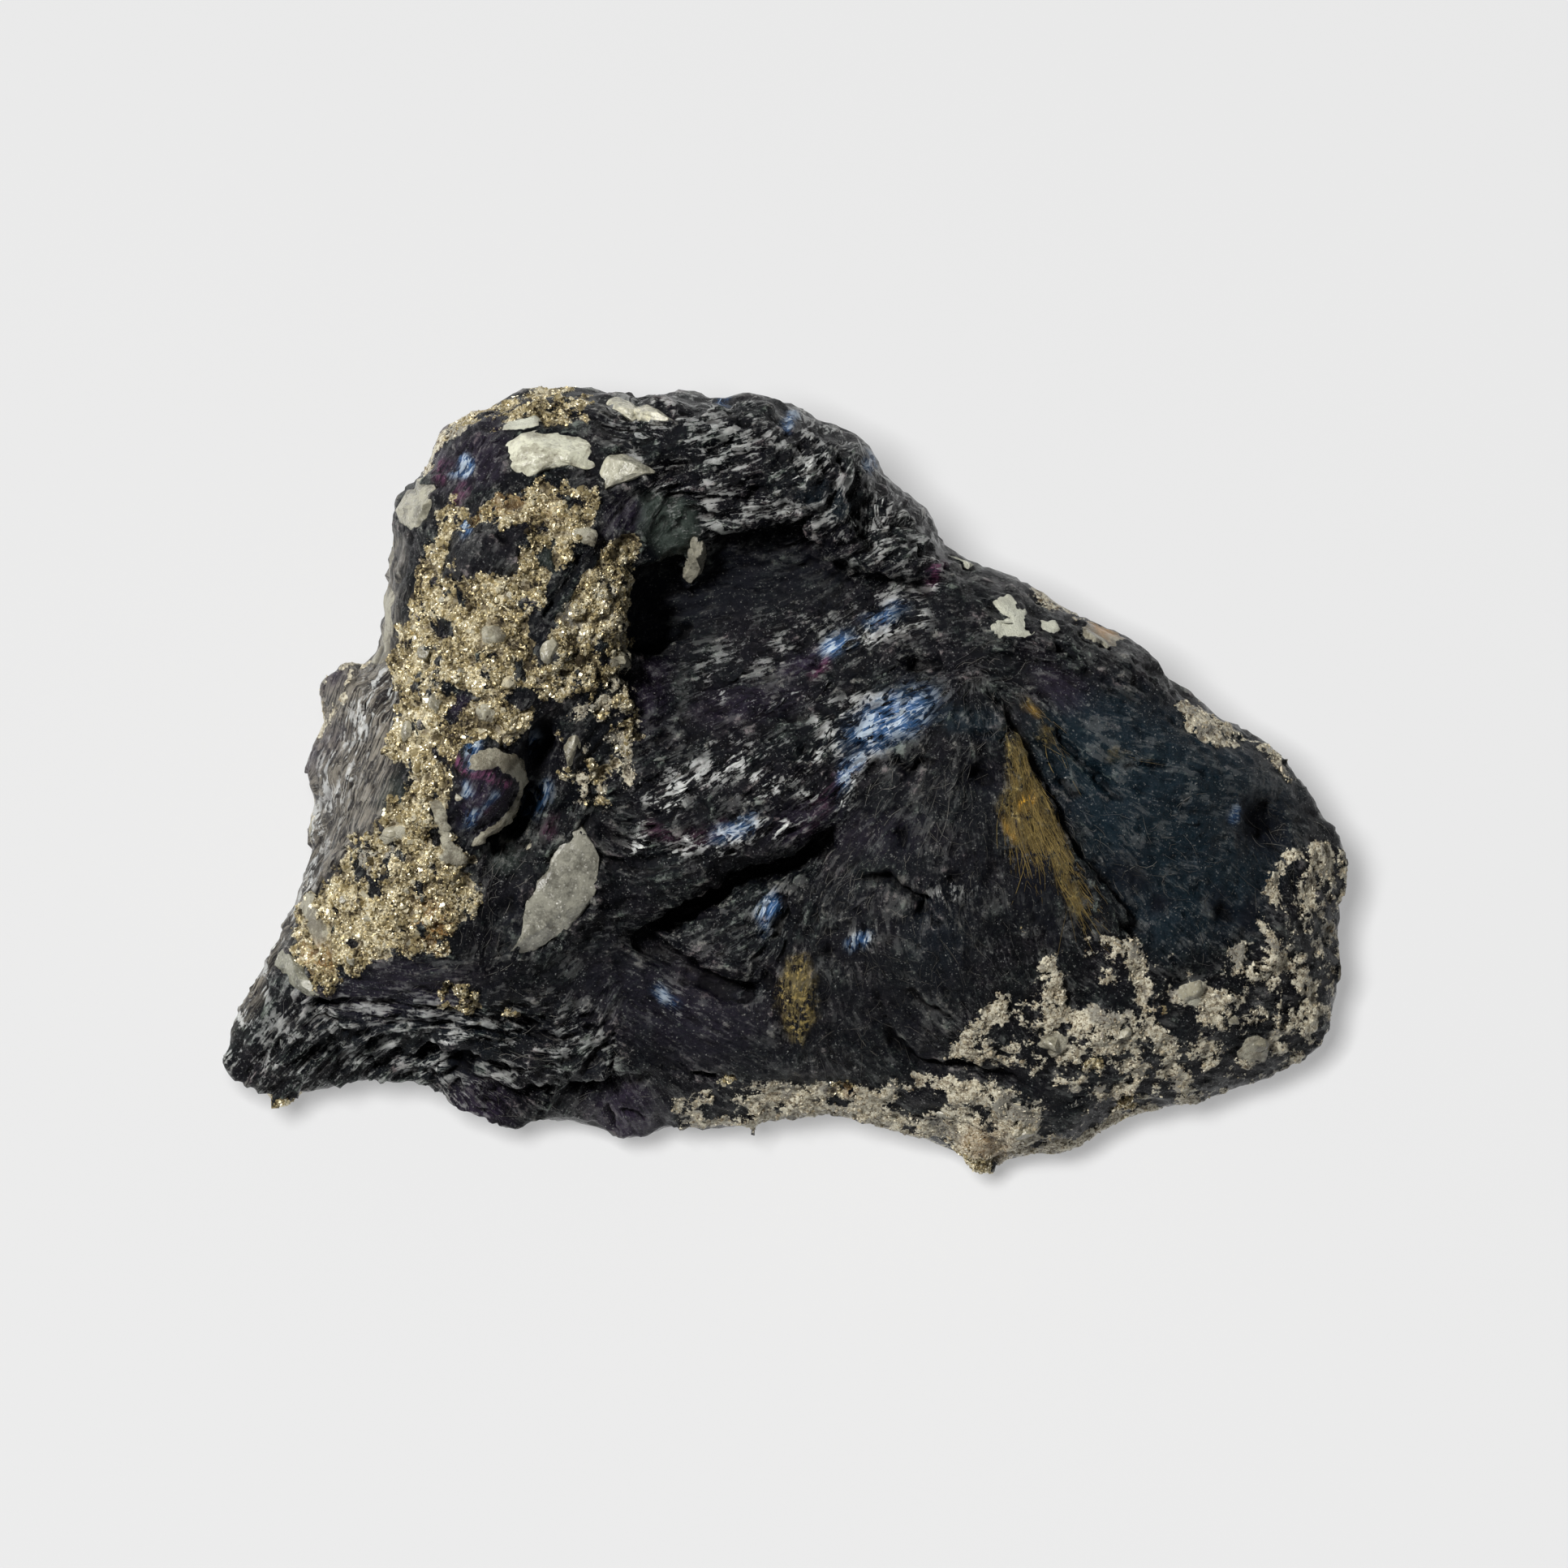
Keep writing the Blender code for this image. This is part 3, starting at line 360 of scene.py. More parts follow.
# Smooth quartz that is part of the skin
QUARTZ = (
    Patch(
        ((17.0, 14.9), (18.3, 15.0), (18.6, 13.9), (19.8, 13.8), (19.4, 12.9), (20.5, 12.2), (19.2, 11.9),
         (17.6, 12.1), (16.9, 12.9), (18.2, 13.2), (17.5, 13.9)),
        edge=0.25,
    ),
    Patch(((20.9, 13.2), (21.6, 13.3), (22.5, 12.6), (21.8, 12.1), (20.9, 12.5)), edge=0.25),
    Patch(((24.6, 13.3), (25.8, 14.0), (28.2, 12.3), (27.4, 11.4), (26.2, 10.9), (24.8, 12.0)), edge=0.3),
    Patch(((13.2, 19.9), (14.0, 19.9), (16.2, 18.4), (15.4, 17.7), (14.0, 18.3)), edge=0.25),
    Strip(((-24.9, 1.8), (-23.6, 2.2), (-22.3, 1.7), (-21.4, 0.3), (-21.6, -1.8), (-23.1, -3.5), (-24.9, -4.5)),
          0.62),
    Strip(((-28.4, -1.6), (-27.7, -3.0), (-27.6, -4.6), (-27.0, -5.9)), 0.50),
    Spot(-27.0, -6.0, 0.9, 1.2, 0.0),
    Strip(((-38.8, -9.8), (-38.4, -11.4), (-37.8, -12.8)), 0.6),
    Strip(((-33.4, 10.6), (-32.7, 13.0), (-32.6, 15.6)), 0.9),
    Strip(((-32.6, 16.8), (-32.3, 19.8)), 0.45, 0.9),
    Strip(((-39.1, -0.2), (-38.6, -2.4), (-38.8, -4.6)), 0.45, 0.6),
    Strip(((-22.6, 28.8), (-21.4, 29.2), (-20.0, 29.3)), 0.4),
    Spot(33.2, -17.0, 1.0, 1.6, 25.0), Spot(22.0, -21.0, 1.1, 1.1), Spot(38.6, -21.6, 1.3, 1.1),
    Spot(-16.3, 20.2, 0.8, 1.2, -30.0, 0.9), Spot(-23.8, 12.1, 0.8, 1.1), Spot(-13.7, 10.0, 0.8, 1.0),
    Spot(-24.3, 5.8, 0.9, 1.2, 0.0, 0.8), Spot(-31.8, -4.2, 0.7, 2.0, 20.0, 0.9), Spot(46.2, -15.2, 1.0, 1.3, 90.0),
)

WHITE_QUARTZ = (
    Spot(18.7, 13.2, 2.6), Spot(21.8, 12.7, 1.3), Spot(14.7, 18.9, 1.8), Spot(-21.4, 29.1, 1.4), Spot(33.2, -17.0, 1.0, 1.0, 0.0, 0.5),
)

# Colours that lie on the covellite, and where painted shadow and painted highlight lie on it
TEAL = (
    Patch(
        ((20.5, 5.5), (27.0, 7.8), (32.0, 6.0), (38.0, 3.0), (42.0, -1.0), (41.0, -6.0), (38.0, -12.0),
         (31.0, -14.0), (28.5, -11.0), (25.0, -5.0), (22.0, 0.5)),
        edge=2.0,
    ),
    Strip(((14.0, 5.4), (17.0, 4.8)), 1.2, 0.7),
    Spot(3.5, 23.2, 1.2, 2.0, -10.0, 0.6),
    Spot(12.5, -12.5, 2.5, 1.5, 80.0, 0.4),
    Spot(-30.0, -20.0, 4.0, 2.0, -10.0, 0.25),
)
VIOLET = (
    Patch(((-28.3, 23.6), (-25.5, 24.0), (-23.0, 25.0), (-22.4, 28.0), (-23.5, 30.4), (-26.5, 28.6), (-28.0, 26.5)),
          edge=0.7, weight=0.5),
    Spot(-28.2, 26.4, 0.6, 2.0, 80.0), Spot(-25.0, -26.4, 2.2, 1.2, -30.0), Spot(-12.9, -27.2, 2.6, 1.2, -30.0),
    Spot(1.8, 9.8, 0.9, 2.4, 30.0, 0.9), Spot(-3.0, 6.6, 1.5, 3.0, 10.0, 0.5), Spot(12.2, 17.0, 0.6, 1.3, 60.0),
    Spot(-36.8, 8.6, 0.8, 1.7, 50.0, 0.9), Spot(-38.6, 1.8, 0.8, 2.2, 75.0, 0.9), Spot(-37.0, 3.6, 0.8, 2.0, 65.0, 0.6),
    Spot(-8.5, -18.5, 3.5, 2.0, -15.0, 0.4), Spot(-11.0, 7.5, 1.6, 2.0, 80.0, 0.5), Spot(1.5, -3.0, 1.6, 2.0, 30.0, 0.5),
    Spot(22.5, 8.0, 1.6, 1.6, -40.0, 0.5), Spot(-13.0, 21.8, 1.4, 1.5, 60.0, 0.6), Spot(-33.0, -17.2, 2.0, 2.0, 0.0, 0.5),
    Spot(-24.5, -1.0, 2.0, 1.5, 60.0, 1.0), Spot(19.5, -4.0, 1.0, 1.5, -60.0, 0.5), Spot(-26.4, 6.4, 0.7, 1.3, 40.0, 0.7),
    Spot(-30.0, -16.6, 2.2, 2.0, 0.0, 0.5), Spot(8.0, -4.0, 2.0, 2.0, 0.0, 0.3),
)
MAGENTA = (
    Strip(((-26.6, 1.8), (-25.2, 0.8), (-24.0, 1.0), (-22.8, 0.3)), 0.35), Spot(12.3, 17.0, 0.5, 1.8, 60.0),
    Spot(3.2, 9.6, 0.4, 2.6, 50.0, 0.7), Strip(((-11.0, -3.6), (-8.0, -4.8), (-5.0, -3.6)), 0.8, 0.2),
    Strip(((2.0, -3.5), (4.5, 0.5)), 0.7, 0.2), Spot(-28.0, 25.6, 0.4, 2.5, 80.0, 0.7), Spot(-26.4, 23.8, 0.5, 1.8, 60.0, 0.6),
    Spot(-24.6, -2.4, 0.4, 2.0, 55.0, 0.5), Spot(-19.2, -3.4, 0.5, 2.0, 60.0, 0.4), Spot(-22.0, 11.0, 0.5, 1.5, 30.0, 0.4),
)
# Blue covellite with painted blue-white glints on it
BLUE_AND_PAINTED_GLINT = (
    Spot(4.3, 11.4, 0.8, 1.5, 35.0), Spot(8.6, 5.3, 1.6, 2.1, 28.0), Spot(8.2, 13.7, 0.8, 1.8, 30.0, 0.7),
    Spot(-26.2, 26.0, 0.7, 1.3, 40.0), Spot(-20.1, -1.3, 0.75, 1.8, 62.0), Spot(-25.3, 2.8, 0.55, 2.2, 95.0),
    Spot(-26.0, -0.6, 0.35, 2.0, 60.0, 0.7), Spot(-25.4, -2.7, 0.5, 1.8, 50.0, 0.8), Spot(-24.4, -1.1, 0.3, 2.5, 60.0, 0.5), Spot(-26.0, 20.8, 0.35, 2.2, 80.0, 0.8), Spot(-1.3, -10.6, 0.7, 1.8, 75.0),
    Spot(6.2, -12.9, 0.5, 1.8, 25.0, 0.8), Spot(0.5, 29.8, 0.5, 1.8, 60.0, 0.7), Spot(-9.6, -17.4, 0.5, 2.0, -30.0, 0.4),
    Spot(-4.0, -3.6, 0.6, 3.0, 25.0, 0.5), Spot(36.9, -2.4, 0.6, 1.4, 80.0, 0.6), Spot(-5.0, 31.4, 0.3, 1.5, 0.0, 0.7),
    Spot(5.4, 1.2, 0.6, 3.4, 62.0, 0.75), Spot(-20.0, 2.9, 0.4, 2.0, 80.0, 0.5), Spot(7.0, 26.5, 0.5, 1.6, 70.0, 0.5),
)
# Near-black patches: partly painted shadow (the hollow under the top lobe, pits and shaded steep faces), partly black
# covellite
DARK_AND_PAINTED_SHADOW = (
    Spot(39.4, -3.5, 2.3, 1.3, -60.0), Spot(20.4, -8.2, 1.8, 1.7, -80.0), Spot(22.0, -11.8, 0.7, 2.2, -80.0, 0.8),
    Spot(28.4, -7.6, 1.3, 1.6, -40.0, 0.9), Spot(36.0, -10.0, 1.0, 2.0, -50.0, 0.8), Spot(30.7, -9.8, 0.9, 1.2),
    Spot(38.0, -10.8, 1.0, 1.5, 80.0, 0.8), Spot(16.2, 0.4, 1.0, 1.8, -50.0), Spot(9.7, -4.5, 0.8, 1.3, 90.0, 0.9),
    Patch(
        ((-12.6, 11.2), (-12.2, 17.2), (-8.0, 17.6), (-5.5, 19.5), (0.0, 20.0), (3.0, 18.0), (5.0, 16.4), (1.0, 15.6),
         (-3.0, 14.0), (-7.5, 13.2), (-9.5, 11.2)),
        edge=0.9, weight=0.6,
    ),
    Patch(((2.0, -22.0), (3.0, -8.0), (9.0, 1.5), (16.5, 2.0), (18.0, -6.0), (16.0, -16.0), (9.0, -23.0)), edge=2.0,
          weight=0.25),
    Spot(-20.3, 2.6, 1.2, 1.9, 75.0), Spot(14.0, -7.6, 0.6, 1.3, 0.0, 0.7), Spot(-15.6, -16.0, 0.8, 1.3, 80.0, 0.7),
    Spot(-19.0, -20.5, 0.8, 1.8, -20.0, 0.8), Spot(-26.5, -23.2, 1.1, 1.6, 0.0, 0.8), Spot(-16.2, -23.2, 0.8, 1.6, 20.0, 0.8),
    Spot(-22.0, -10.5, 1.0, 3.5, 75.0, 0.6), Spot(10.0, -19.5, 1.5, 2.0, -60.0, 0.4), Spot(3.0, 15.0, 1.0, 1.5, 0.0, 0.4),
    Spot(18.3, -10.0, 0.8, 1.5, 80.0, 0.4), Spot(-14.0, 5.0, 1.0, 2.0, 60.0, 0.3),
    Patch(((-14.0, -13.5), (-8.0, -15.5), (-2.0, -18.0), (0.0, -23.5), (-9.0, -23.5), (-14.0, -20.0)), edge=1.5, weight=0.35),
)
YELLOW = (
    Patch(((-0.8, -17.5), (0.4, -14.5), (1.6, -14.0), (2.4, -16.5), (2.5, -19.0), (1.4, -21.3), (0.2, -20.6)),
          edge=0.5, weight=0.8),
    Patch(((18.0, 4.2), (19.2, 4.4), (21.0, 0.0), (22.6, -4.0), (23.4, -7.0), (24.4, -11.0), (23.0, -10.0),
           (22.2, -6.5), (21.2, -4.8), (18.8, -5.0), (17.6, -2.0), (18.4, 0.5)),
          edge=0.4, weight=0.75),
    Spot(19.5, -1.4, 0.45, 1.3, 60.0), Spot(20.2, -0.9, 0.3, 1.5, -30.0, 0.9), Spot(21.5, 4.0, 0.6, 1.2, -50.0, 0.6),
    Spot(20.1, 6.4, 0.4, 2.0, -50.0, 0.6), Spot(27.2, 2.4, 0.5, 1.5, 0.0, 0.3),
)
RUST = (
    Spot(-28.6, -11.6, 1.6, 1.5, -60.0), Spot(-38.2, -14.3, 1.1, 1.5, -30.0, 0.9), Spot(-23.6, 22.6, 1.6, 1.4, 20.0, 0.6),
    Spot(-21.6, 23.1, 0.6, 1.2, 0.0, 0.9), Spot(-19.0, 22.6, 1.2, 1.4, 0.0, 0.4), Spot(26.2, 12.8, 0.7, 1.9, -35.0, 0.9),
    Spot(18.2, -4.0, 0.6, 1.8, -60.0, 0.9), Spot(19.9, -12.2, 0.7, 1.6, -60.0, 0.7), Spot(20.6, 5.6, 0.5, 2.0, -50.0, 0.7),
    Spot(-31.9, 1.0, 0.5, 3.0, 85.0, 0.5), Spot(-24.9, 30.8, 0.6, 2.0, 30.0, 0.5), Spot(30.5, -18.5, 0.7, 1.8, 90.0, 0.5),
    Spot(19.6, -1.4, 0.6, 1.5, 60.0), Spot(16.6, -29.4, 1.6, 1.2, -20.0, 0.8), Spot(5.2, -25.0, 0.6, 1.6, 0.0, 0.6), Spot(27.8, -26.2, 0.8, 1.4, 0.0, 0.7),
)
PALE_GREEN = (
    Patch(((-12.4, 23.8), (-8.3, 23.4), (-6.9, 21.5), (-7.6, 18.9), (-9.2, 18.3), (-10.6, 18.9), (-11.4, 20.6)),
          edge=0.6, weight=0.9),
    Spot(-19.2, 18.4, 0.8, 1.5, 40.0, 0.6), Spot(-22.6, -6.0, 1.0, 1.6, 30.0, 0.5), Spot(-32.0, -1.0, 1.2, 1.4, 60.0, 0.5),
)
# Where the covellite gets painted highlight streaks, stronger ridges and more leaning flakes
GLEAM = (
    Strip(((-10.5, -0.6), (-7.0, 0.6), (-3.4, 1.8)), 1.2, 0.9), Strip(((-2.4, -0.4), (0.6, 1.2), (4.0, 3.4)), 1.1, 1.0),
    Strip(((-12.0, -5.4), (-10.6, -3.0), (-9.0, -1.6)), 0.9, 1.0), Strip(((-5.0, -4.2), (-2.0, -3.6), (0.6, -3.4)), 0.9, 1.0),
    Strip(((-9.0, -5.4), (-7.0, -4.8), (-5.0, -5.6)), 0.9, 0.8), Strip(((3.2, 5.0), (6.0, 6.6), (9.6, 6.2)), 1.0, 0.7),
    Strip(((4.4, -1.4), (5.8, 1.6), (7.4, 4.2)), 0.8, 0.9), Spot(2.5, -0.5, 0.8, 1.5, 30.0, 1.0), Spot(0.0, 1.4, 0.5, 1.6, 40.0, 1.0),
    Strip(((-3.2, 6.0), (-1.0, 6.7), (2.0, 7.4), (4.6, 6.2)), 0.5, 0.6), Spot(3.4, 9.8, 0.4, 2.6, 50.0, 0.9),
    Strip(((6.0, 11.8), (8.6, 13.0), (10.6, 13.4)), 0.9, 0.9), Spot(12.4, 16.6, 0.4, 2.4, 60.0, 0.9),
    Strip(((2.8, 3.0), (-1.0, 2.4), (-6.0, 3.2)), 0.8, 0.3),
    Spot(8.0, 13.6, 1.8, 2.0, 30.0, 0.6), Spot(-5.4, 7.3, 0.6, 1.6, 20.0, 0.7), Spot(1.8, 25.4, 1.0, 2.5, 30.0, 0.8),
    Spot(8.0, 23.5, 1.5, 1.5, 60.0, 0.6), Spot(-9.8, -17.6, 1.4, 1.8, -30.0, 0.35), Spot(6.3, -12.8, 0.8, 1.6, 25.0, 0.8),
    Spot(13.2, -9.0, 1.0, 2.5, 20.0, 0.5), Spot(-1.2, -10.5, 1.0, 1.8, 70.0, 0.8), Spot(-5.0, 26.6, 2.0, 2.5, 20.0, 0.5),
    Strip(((-6.0, 9.5), (-1.0, 10.5), (3.0, 13.0)), 1.5, 0.28), Spot(11.5, 18.5, 1.5, 1.5, 0.0, 0.5),
    Strip(((-46.0, -22.0), (-40.0, -8.0), (-36.0, 2.0), (-33.0, 8.0)), 1.6, 0.8),
    Patch(((-16.0, 33.0), (5.0, 33.0), (14.5, 20.0), (7.0, 18.0), (2.0, 21.5), (-7.0, 20.5), (-12.0, 25.0)), edge=2.0, weight=0.40),
    Patch(((-46.0, -24.0), (-40.0, -16.0), (-24.0, -18.0), (-15.0, -19.0), (-14.0, -23.5), (-30.0, -28.0)), edge=1.5, weight=0.34),
    Strip(((-32.0, -21.2), (-28.0, -20.6), (-24.0, -21.2)), 0.8, 0.6), Spot(-29.0, -23.2, 0.9, 1.6, 10.0, 0.9),
)

# How rough the covellite is, over a smoother ground
CRUMPLED = (
    Patch(((-16.0, 33.5), (6.0, 33.0), (15.0, 19.0), (4.5, 17.0), (1.0, 20.5), (-7.0, 19.5), (-12.0, 24.0)), edge=2.0,
          weight=0.75),
    Patch(((-13.0, -6.0), (-12.0, 6.0), (-6.0, 11.0), (2.0, 14.5), (9.0, 16.0), (14.0, 10.0), (12.0, 6.0),
           (5.0, -2.0), (-2.0, -7.0), (-9.0, -10.5)), edge=1.5, weight=0.55),
    Patch(((12.0, 17.0), (14.0, 19.5), (28.0, 12.5), (36.0, 6.0), (30.0, 7.0), (18.0, 10.0)), edge=1.0, weight=0.6),
    Patch(((-46.0, -26.0), (-40.0, -15.0), (-24.0, -15.0), (-14.0, -18.0), (-12.0, -24.0), (-30.0, -30.0)), edge=1.5,
          weight=0.12),
    Patch(((-23.0, -14.0), (-22.0, -4.0), (-17.0, 0.0), (-13.0, 4.0), (-13.0, -12.0)), edge=1.5, weight=0.4),
    Spot(-25.5, 26.5, 3.0, 1.3, 50.0, 0.6), Spot(2.0, -10.0, 4.0, 1.3, 60.0, 0.35), Spot(17.0, 6.0, 3.0, 1.5, -40.0, 0.3),
)
WAVY = (
    Patch(((-46.0, -26.0), (-42.0, -17.0), (-24.0, -17.5), (-14.0, -19.0), (-13.0, -24.0), (-30.0, -30.0)), edge=1.5),
    Patch(((-9.0, -9.5), (0.0, -7.5), (5.0, -4.0), (3.0, -14.0), (-3.0, -16.0), (-9.0, -14.0)), edge=1.5, weight=0.5),
    Strip(((-41.0, -15.0), (-37.0, -4.0), (-34.0, 6.0), (-31.5, 18.0)), 3.0, 0.5),
)

# Where the rim stands out past the even lump, or back from it
RIM = (
    Spot(-37.4, 8.7, 2.2, 1.2, 50.0, 0.7), Spot(-38.9, 1.1, 2.4, 1.3, 85.0, 0.7), Spot(-38.8, -3.6, 1.6, 1.2, 80.0, 0.5),
    Spot(-32.6, 15.7, 2.5, 1.6, 80.0, 0.4), Spot(-27.4, 29.2, 2.0, 1.5, 45.0, 0.35), Spot(-16.0, 32.8, 2.4, 1.5, -10.0, 0.5),
    Spot(-1.5, 32.2, 2.0, 1.6, -10.0, 0.4), Spot(6.0, 28.7, 1.8, 2.0, -50.0, 0.5), Spot(11.6, 22.6, 1.6, 1.8, -55.0, 0.5),
    Spot(28.9, 11.9, 1.4, 1.3, -20.0, 0.7), Spot(43.0, -0.3, 2.5, 2.5, -55.0, 0.7), Spot(47.0, -8.3, 2.5, 1.6, 90.0, 0.25),
    Spot(46.8, -16.5, 3.0, 1.8, 90.0, 0.3), Spot(-34.2, 10.8, 1.6, 1.0, 0.0, -0.4), Spot(32.3, 9.0, 1.6, 1.5, -35.0, -0.3),
    Spot(3.6, -28.4, 2.2, 2.2, 0.0, -0.6), Spot(25.0, -30.6, 1.8, 1.8, 25.0, -0.5), Spot(16.8, -32.3, 1.3, 1.2, -20.0, 0.6),
    Spot(-12.4, -29.8, 1.8, 1.8, 0.0, 0.4), Spot(-23.0, -28.4, 1.8, 1.8, -10.0, 0.5), Spot(-27.2, -26.2, 1.6, 1.6, -40.0, 0.5),
    Spot(-42.4, -26.7, 1.8, 1.6, 0.0, 0.8), Spot(-45.6, -24.2, 1.4, 1.5, 80.0, 0.7), Spot(-45.4, -20.0, 1.6, 2.4, 75.0, 0.5),
)

# How the foliation runs, as (u, v, angle)
FLOW = (
    (-38.5, 6.0, 68), (-36.0, 5.0, 68), (-34.0, -3.0, 66), (-32.5, 8.0, 72), (-38.0, -9.0, 62), (-41.5, -16.0, 60),
    (-33.0, 16.0, 75), (-30.0, 22.0, 70), (-25.5, 27.0, 60), (-22.0, 30.0, 35),
    (-44.0, -21.0, 55), (-41.0, -23.0, 50), (-38.5, -21.0, 45), (-36.0, -18.0, -8), (-31.0, -18.6, -10),
    (-26.0, -19.6, -8), (-35.5, -23.4, 48), (-31.5, -21.8, 32), (-28.0, -20.8, 8), (-22.0, -21.5, -25),
    (-20.0, -23.5, -15), (-17.0, -21.0, 30), (-15.2, -18.5, 62), (-17.5, -26.0, 60), (-23.0, -25.5, -38),
    (-12.5, -27.0, -60), (-26.0, -26.5, -55), (-24.0, -11.0, 72), (-22.0, -7.0, 65), (-19.5, -1.5, 70),
    (-17.5, 16.5, 58), (-13.0, 22.0, 58), (-25.0, -1.0, 60), (-16.0, 5.0, 50), (-14.0, -5.0, -35),
    (-9.0, -8.5, 10), (-11.0, -4.5, 20), (-6.0, -1.0, 38), (-2.0, 1.5, 38), (1.0, -2.5, 32), (3.0, 3.0, 42),
    (8.0, 5.5, 28), (-9.0, 2.0, 25), (-8.0, 7.0, 20), (-4.0, 5.0, 28), (-3.0, 9.5, 15), (2.0, 7.0, 10),
    (4.5, 11.5, 38), (8.0, 13.0, 32), (-8.0, 15.0, 10), (-2.0, 17.0, 5), (11.0, 8.0, 20), (13.5, 11.0, 12),
    (-8.0, 26.0, 12), (-3.0, 23.0, 8), (-3.0, 28.5, 18), (2.0, 27.5, 52), (3.0, 24.0, 22), (6.0, 26.0, 75),
    (6.5, 22.5, 85), (10.0, 20.5, 15), (9.0, 18.0, 30), (-7.0, 31.0, 8), (1.0, 30.5, 40), (-14.0, 29.5, -15),
    (12.0, 15.5, -5), (18.0, 14.5, -25), (24.0, 12.0, -28), (20.0, 10.0, -8), (28.0, 9.0, -30), (36.0, 4.0, -32),
    (-7.0, -12.0, 22), (-3.5, -13.0, 30), (-2.0, -9.5, 35), (0.0, -11.0, 70), (-1.0, -14.5, 60), (-5.0, -16.0, -10),
    (-10.0, -15.0, -28), (-9.0, -18.0, -32), (-5.0, -20.5, -25), (-12.0, -20.0, -30), (1.0, -17.5, 80),
    (3.0, -12.0, 78), (5.0, -7.0, 55), (6.0, -1.0, 45), (3.5, -16.0, 100), (6.0, -19.0, 115), (9.0, -21.0, 130),
    (13.0, -23.5, 165), (7.5, -14.5, 105), (9.0, -9.0, 75), (12.0, 2.0, 60), (12.5, -4.0, 70), (13.0, -9.0, 100),
    (14.0, -13.5, 100), (11.0, -17.0, 120), (16.0, 6.0, 100), (18.5, 0.0, 100), (17.0, -7.0, 95),
    (20.0, -2.5, 112), (22.5, -6.5, 112), (21.0, -11.0, 100), (24.5, -9.0, 122), (22.5, 0.5, 122), (20.5, 5.5, 130),
    (25.5, 2.0, 140), (27.0, -5.5, 130), (30.0, -10.0, 125), (27.0, 5.0, 165), (31.0, 1.5, 175), (35.0, -1.0, 172),
    (33.0, -6.0, 170), (39.0, -4.0, 150), (37.0, -9.5, 140), (41.0, -13.0, 160), (43.5, -8.0, 120), (44.0, -19.0, 205),
    (35.0, -20.0, 175), (27.0, -17.0, 150), (20.0, -20.0, 120), (25.0, -25.0, 170), (15.0, -26.0, 175),
)
FLOW_REACH = 1.2
FLOW_GRID = 0.5
FLOW_LOW = np.array((-52.0, -38.0))
FLOW_CELLS = (210, 152)
LEAF_TURNS = 12
STREAK_PATCH = 2.6


class Foliation:
    """The way the foliation runs all over the face."""

    def __init__(self):
        columns, rows = FLOW_CELLS
        across = FLOW_LOW[0] + FLOW_GRID * np.arange(columns)
        up = FLOW_LOW[1] + FLOW_GRID * np.arange(rows)
        places = np.stack(np.meshgrid(across, up), axis=-1).reshape(-1, 2)
        hints = np.array(FLOW, float)
        gaps = np.linalg.norm(places[:, None] - hints[None, :, :2], axis=2)
        shares = (gaps + FLOW_REACH) ** -4
        shares /= shares.sum(axis=1, keepdims=True)
        doubled = np.radians(2.0 * hints[:, 2])
        self.turns = [(shares @ wave(doubled)).reshape(rows, columns) for wave in (np.cos, np.sin)]

    def angle(self, uv):
        """The angle of the foliation at places on the face, in radians."""
        place = (uv - FLOW_LOW) / FLOW_GRID
        cell = np.clip(np.floor(place).astype(int), 0, np.array(FLOW_CELLS) - 2)
        part_u, part_v = (place - cell).T
        u, v = cell.T
        found = []
        for grid in self.turns:
            low = grid[v, u] * (1.0 - part_u) + grid[v, u + 1] * part_u
            high = grid[v + 1, u] * (1.0 - part_u) + grid[v + 1, u + 1] * part_u
            found.append(low * (1.0 - part_v) + high * part_v)
        return 0.5 * np.arctan2(found[1], found[0])


# Fine cracks, creases and ledges: course, half width, depth and the lift of the left side
class Crack:
    def __init__(self, course, half_width, depth, lift=0.0, reach=1.6):
        self.course = course
        self.half_width = half_width
        self.depth = depth
        self.lift = lift
        self.reach = reach


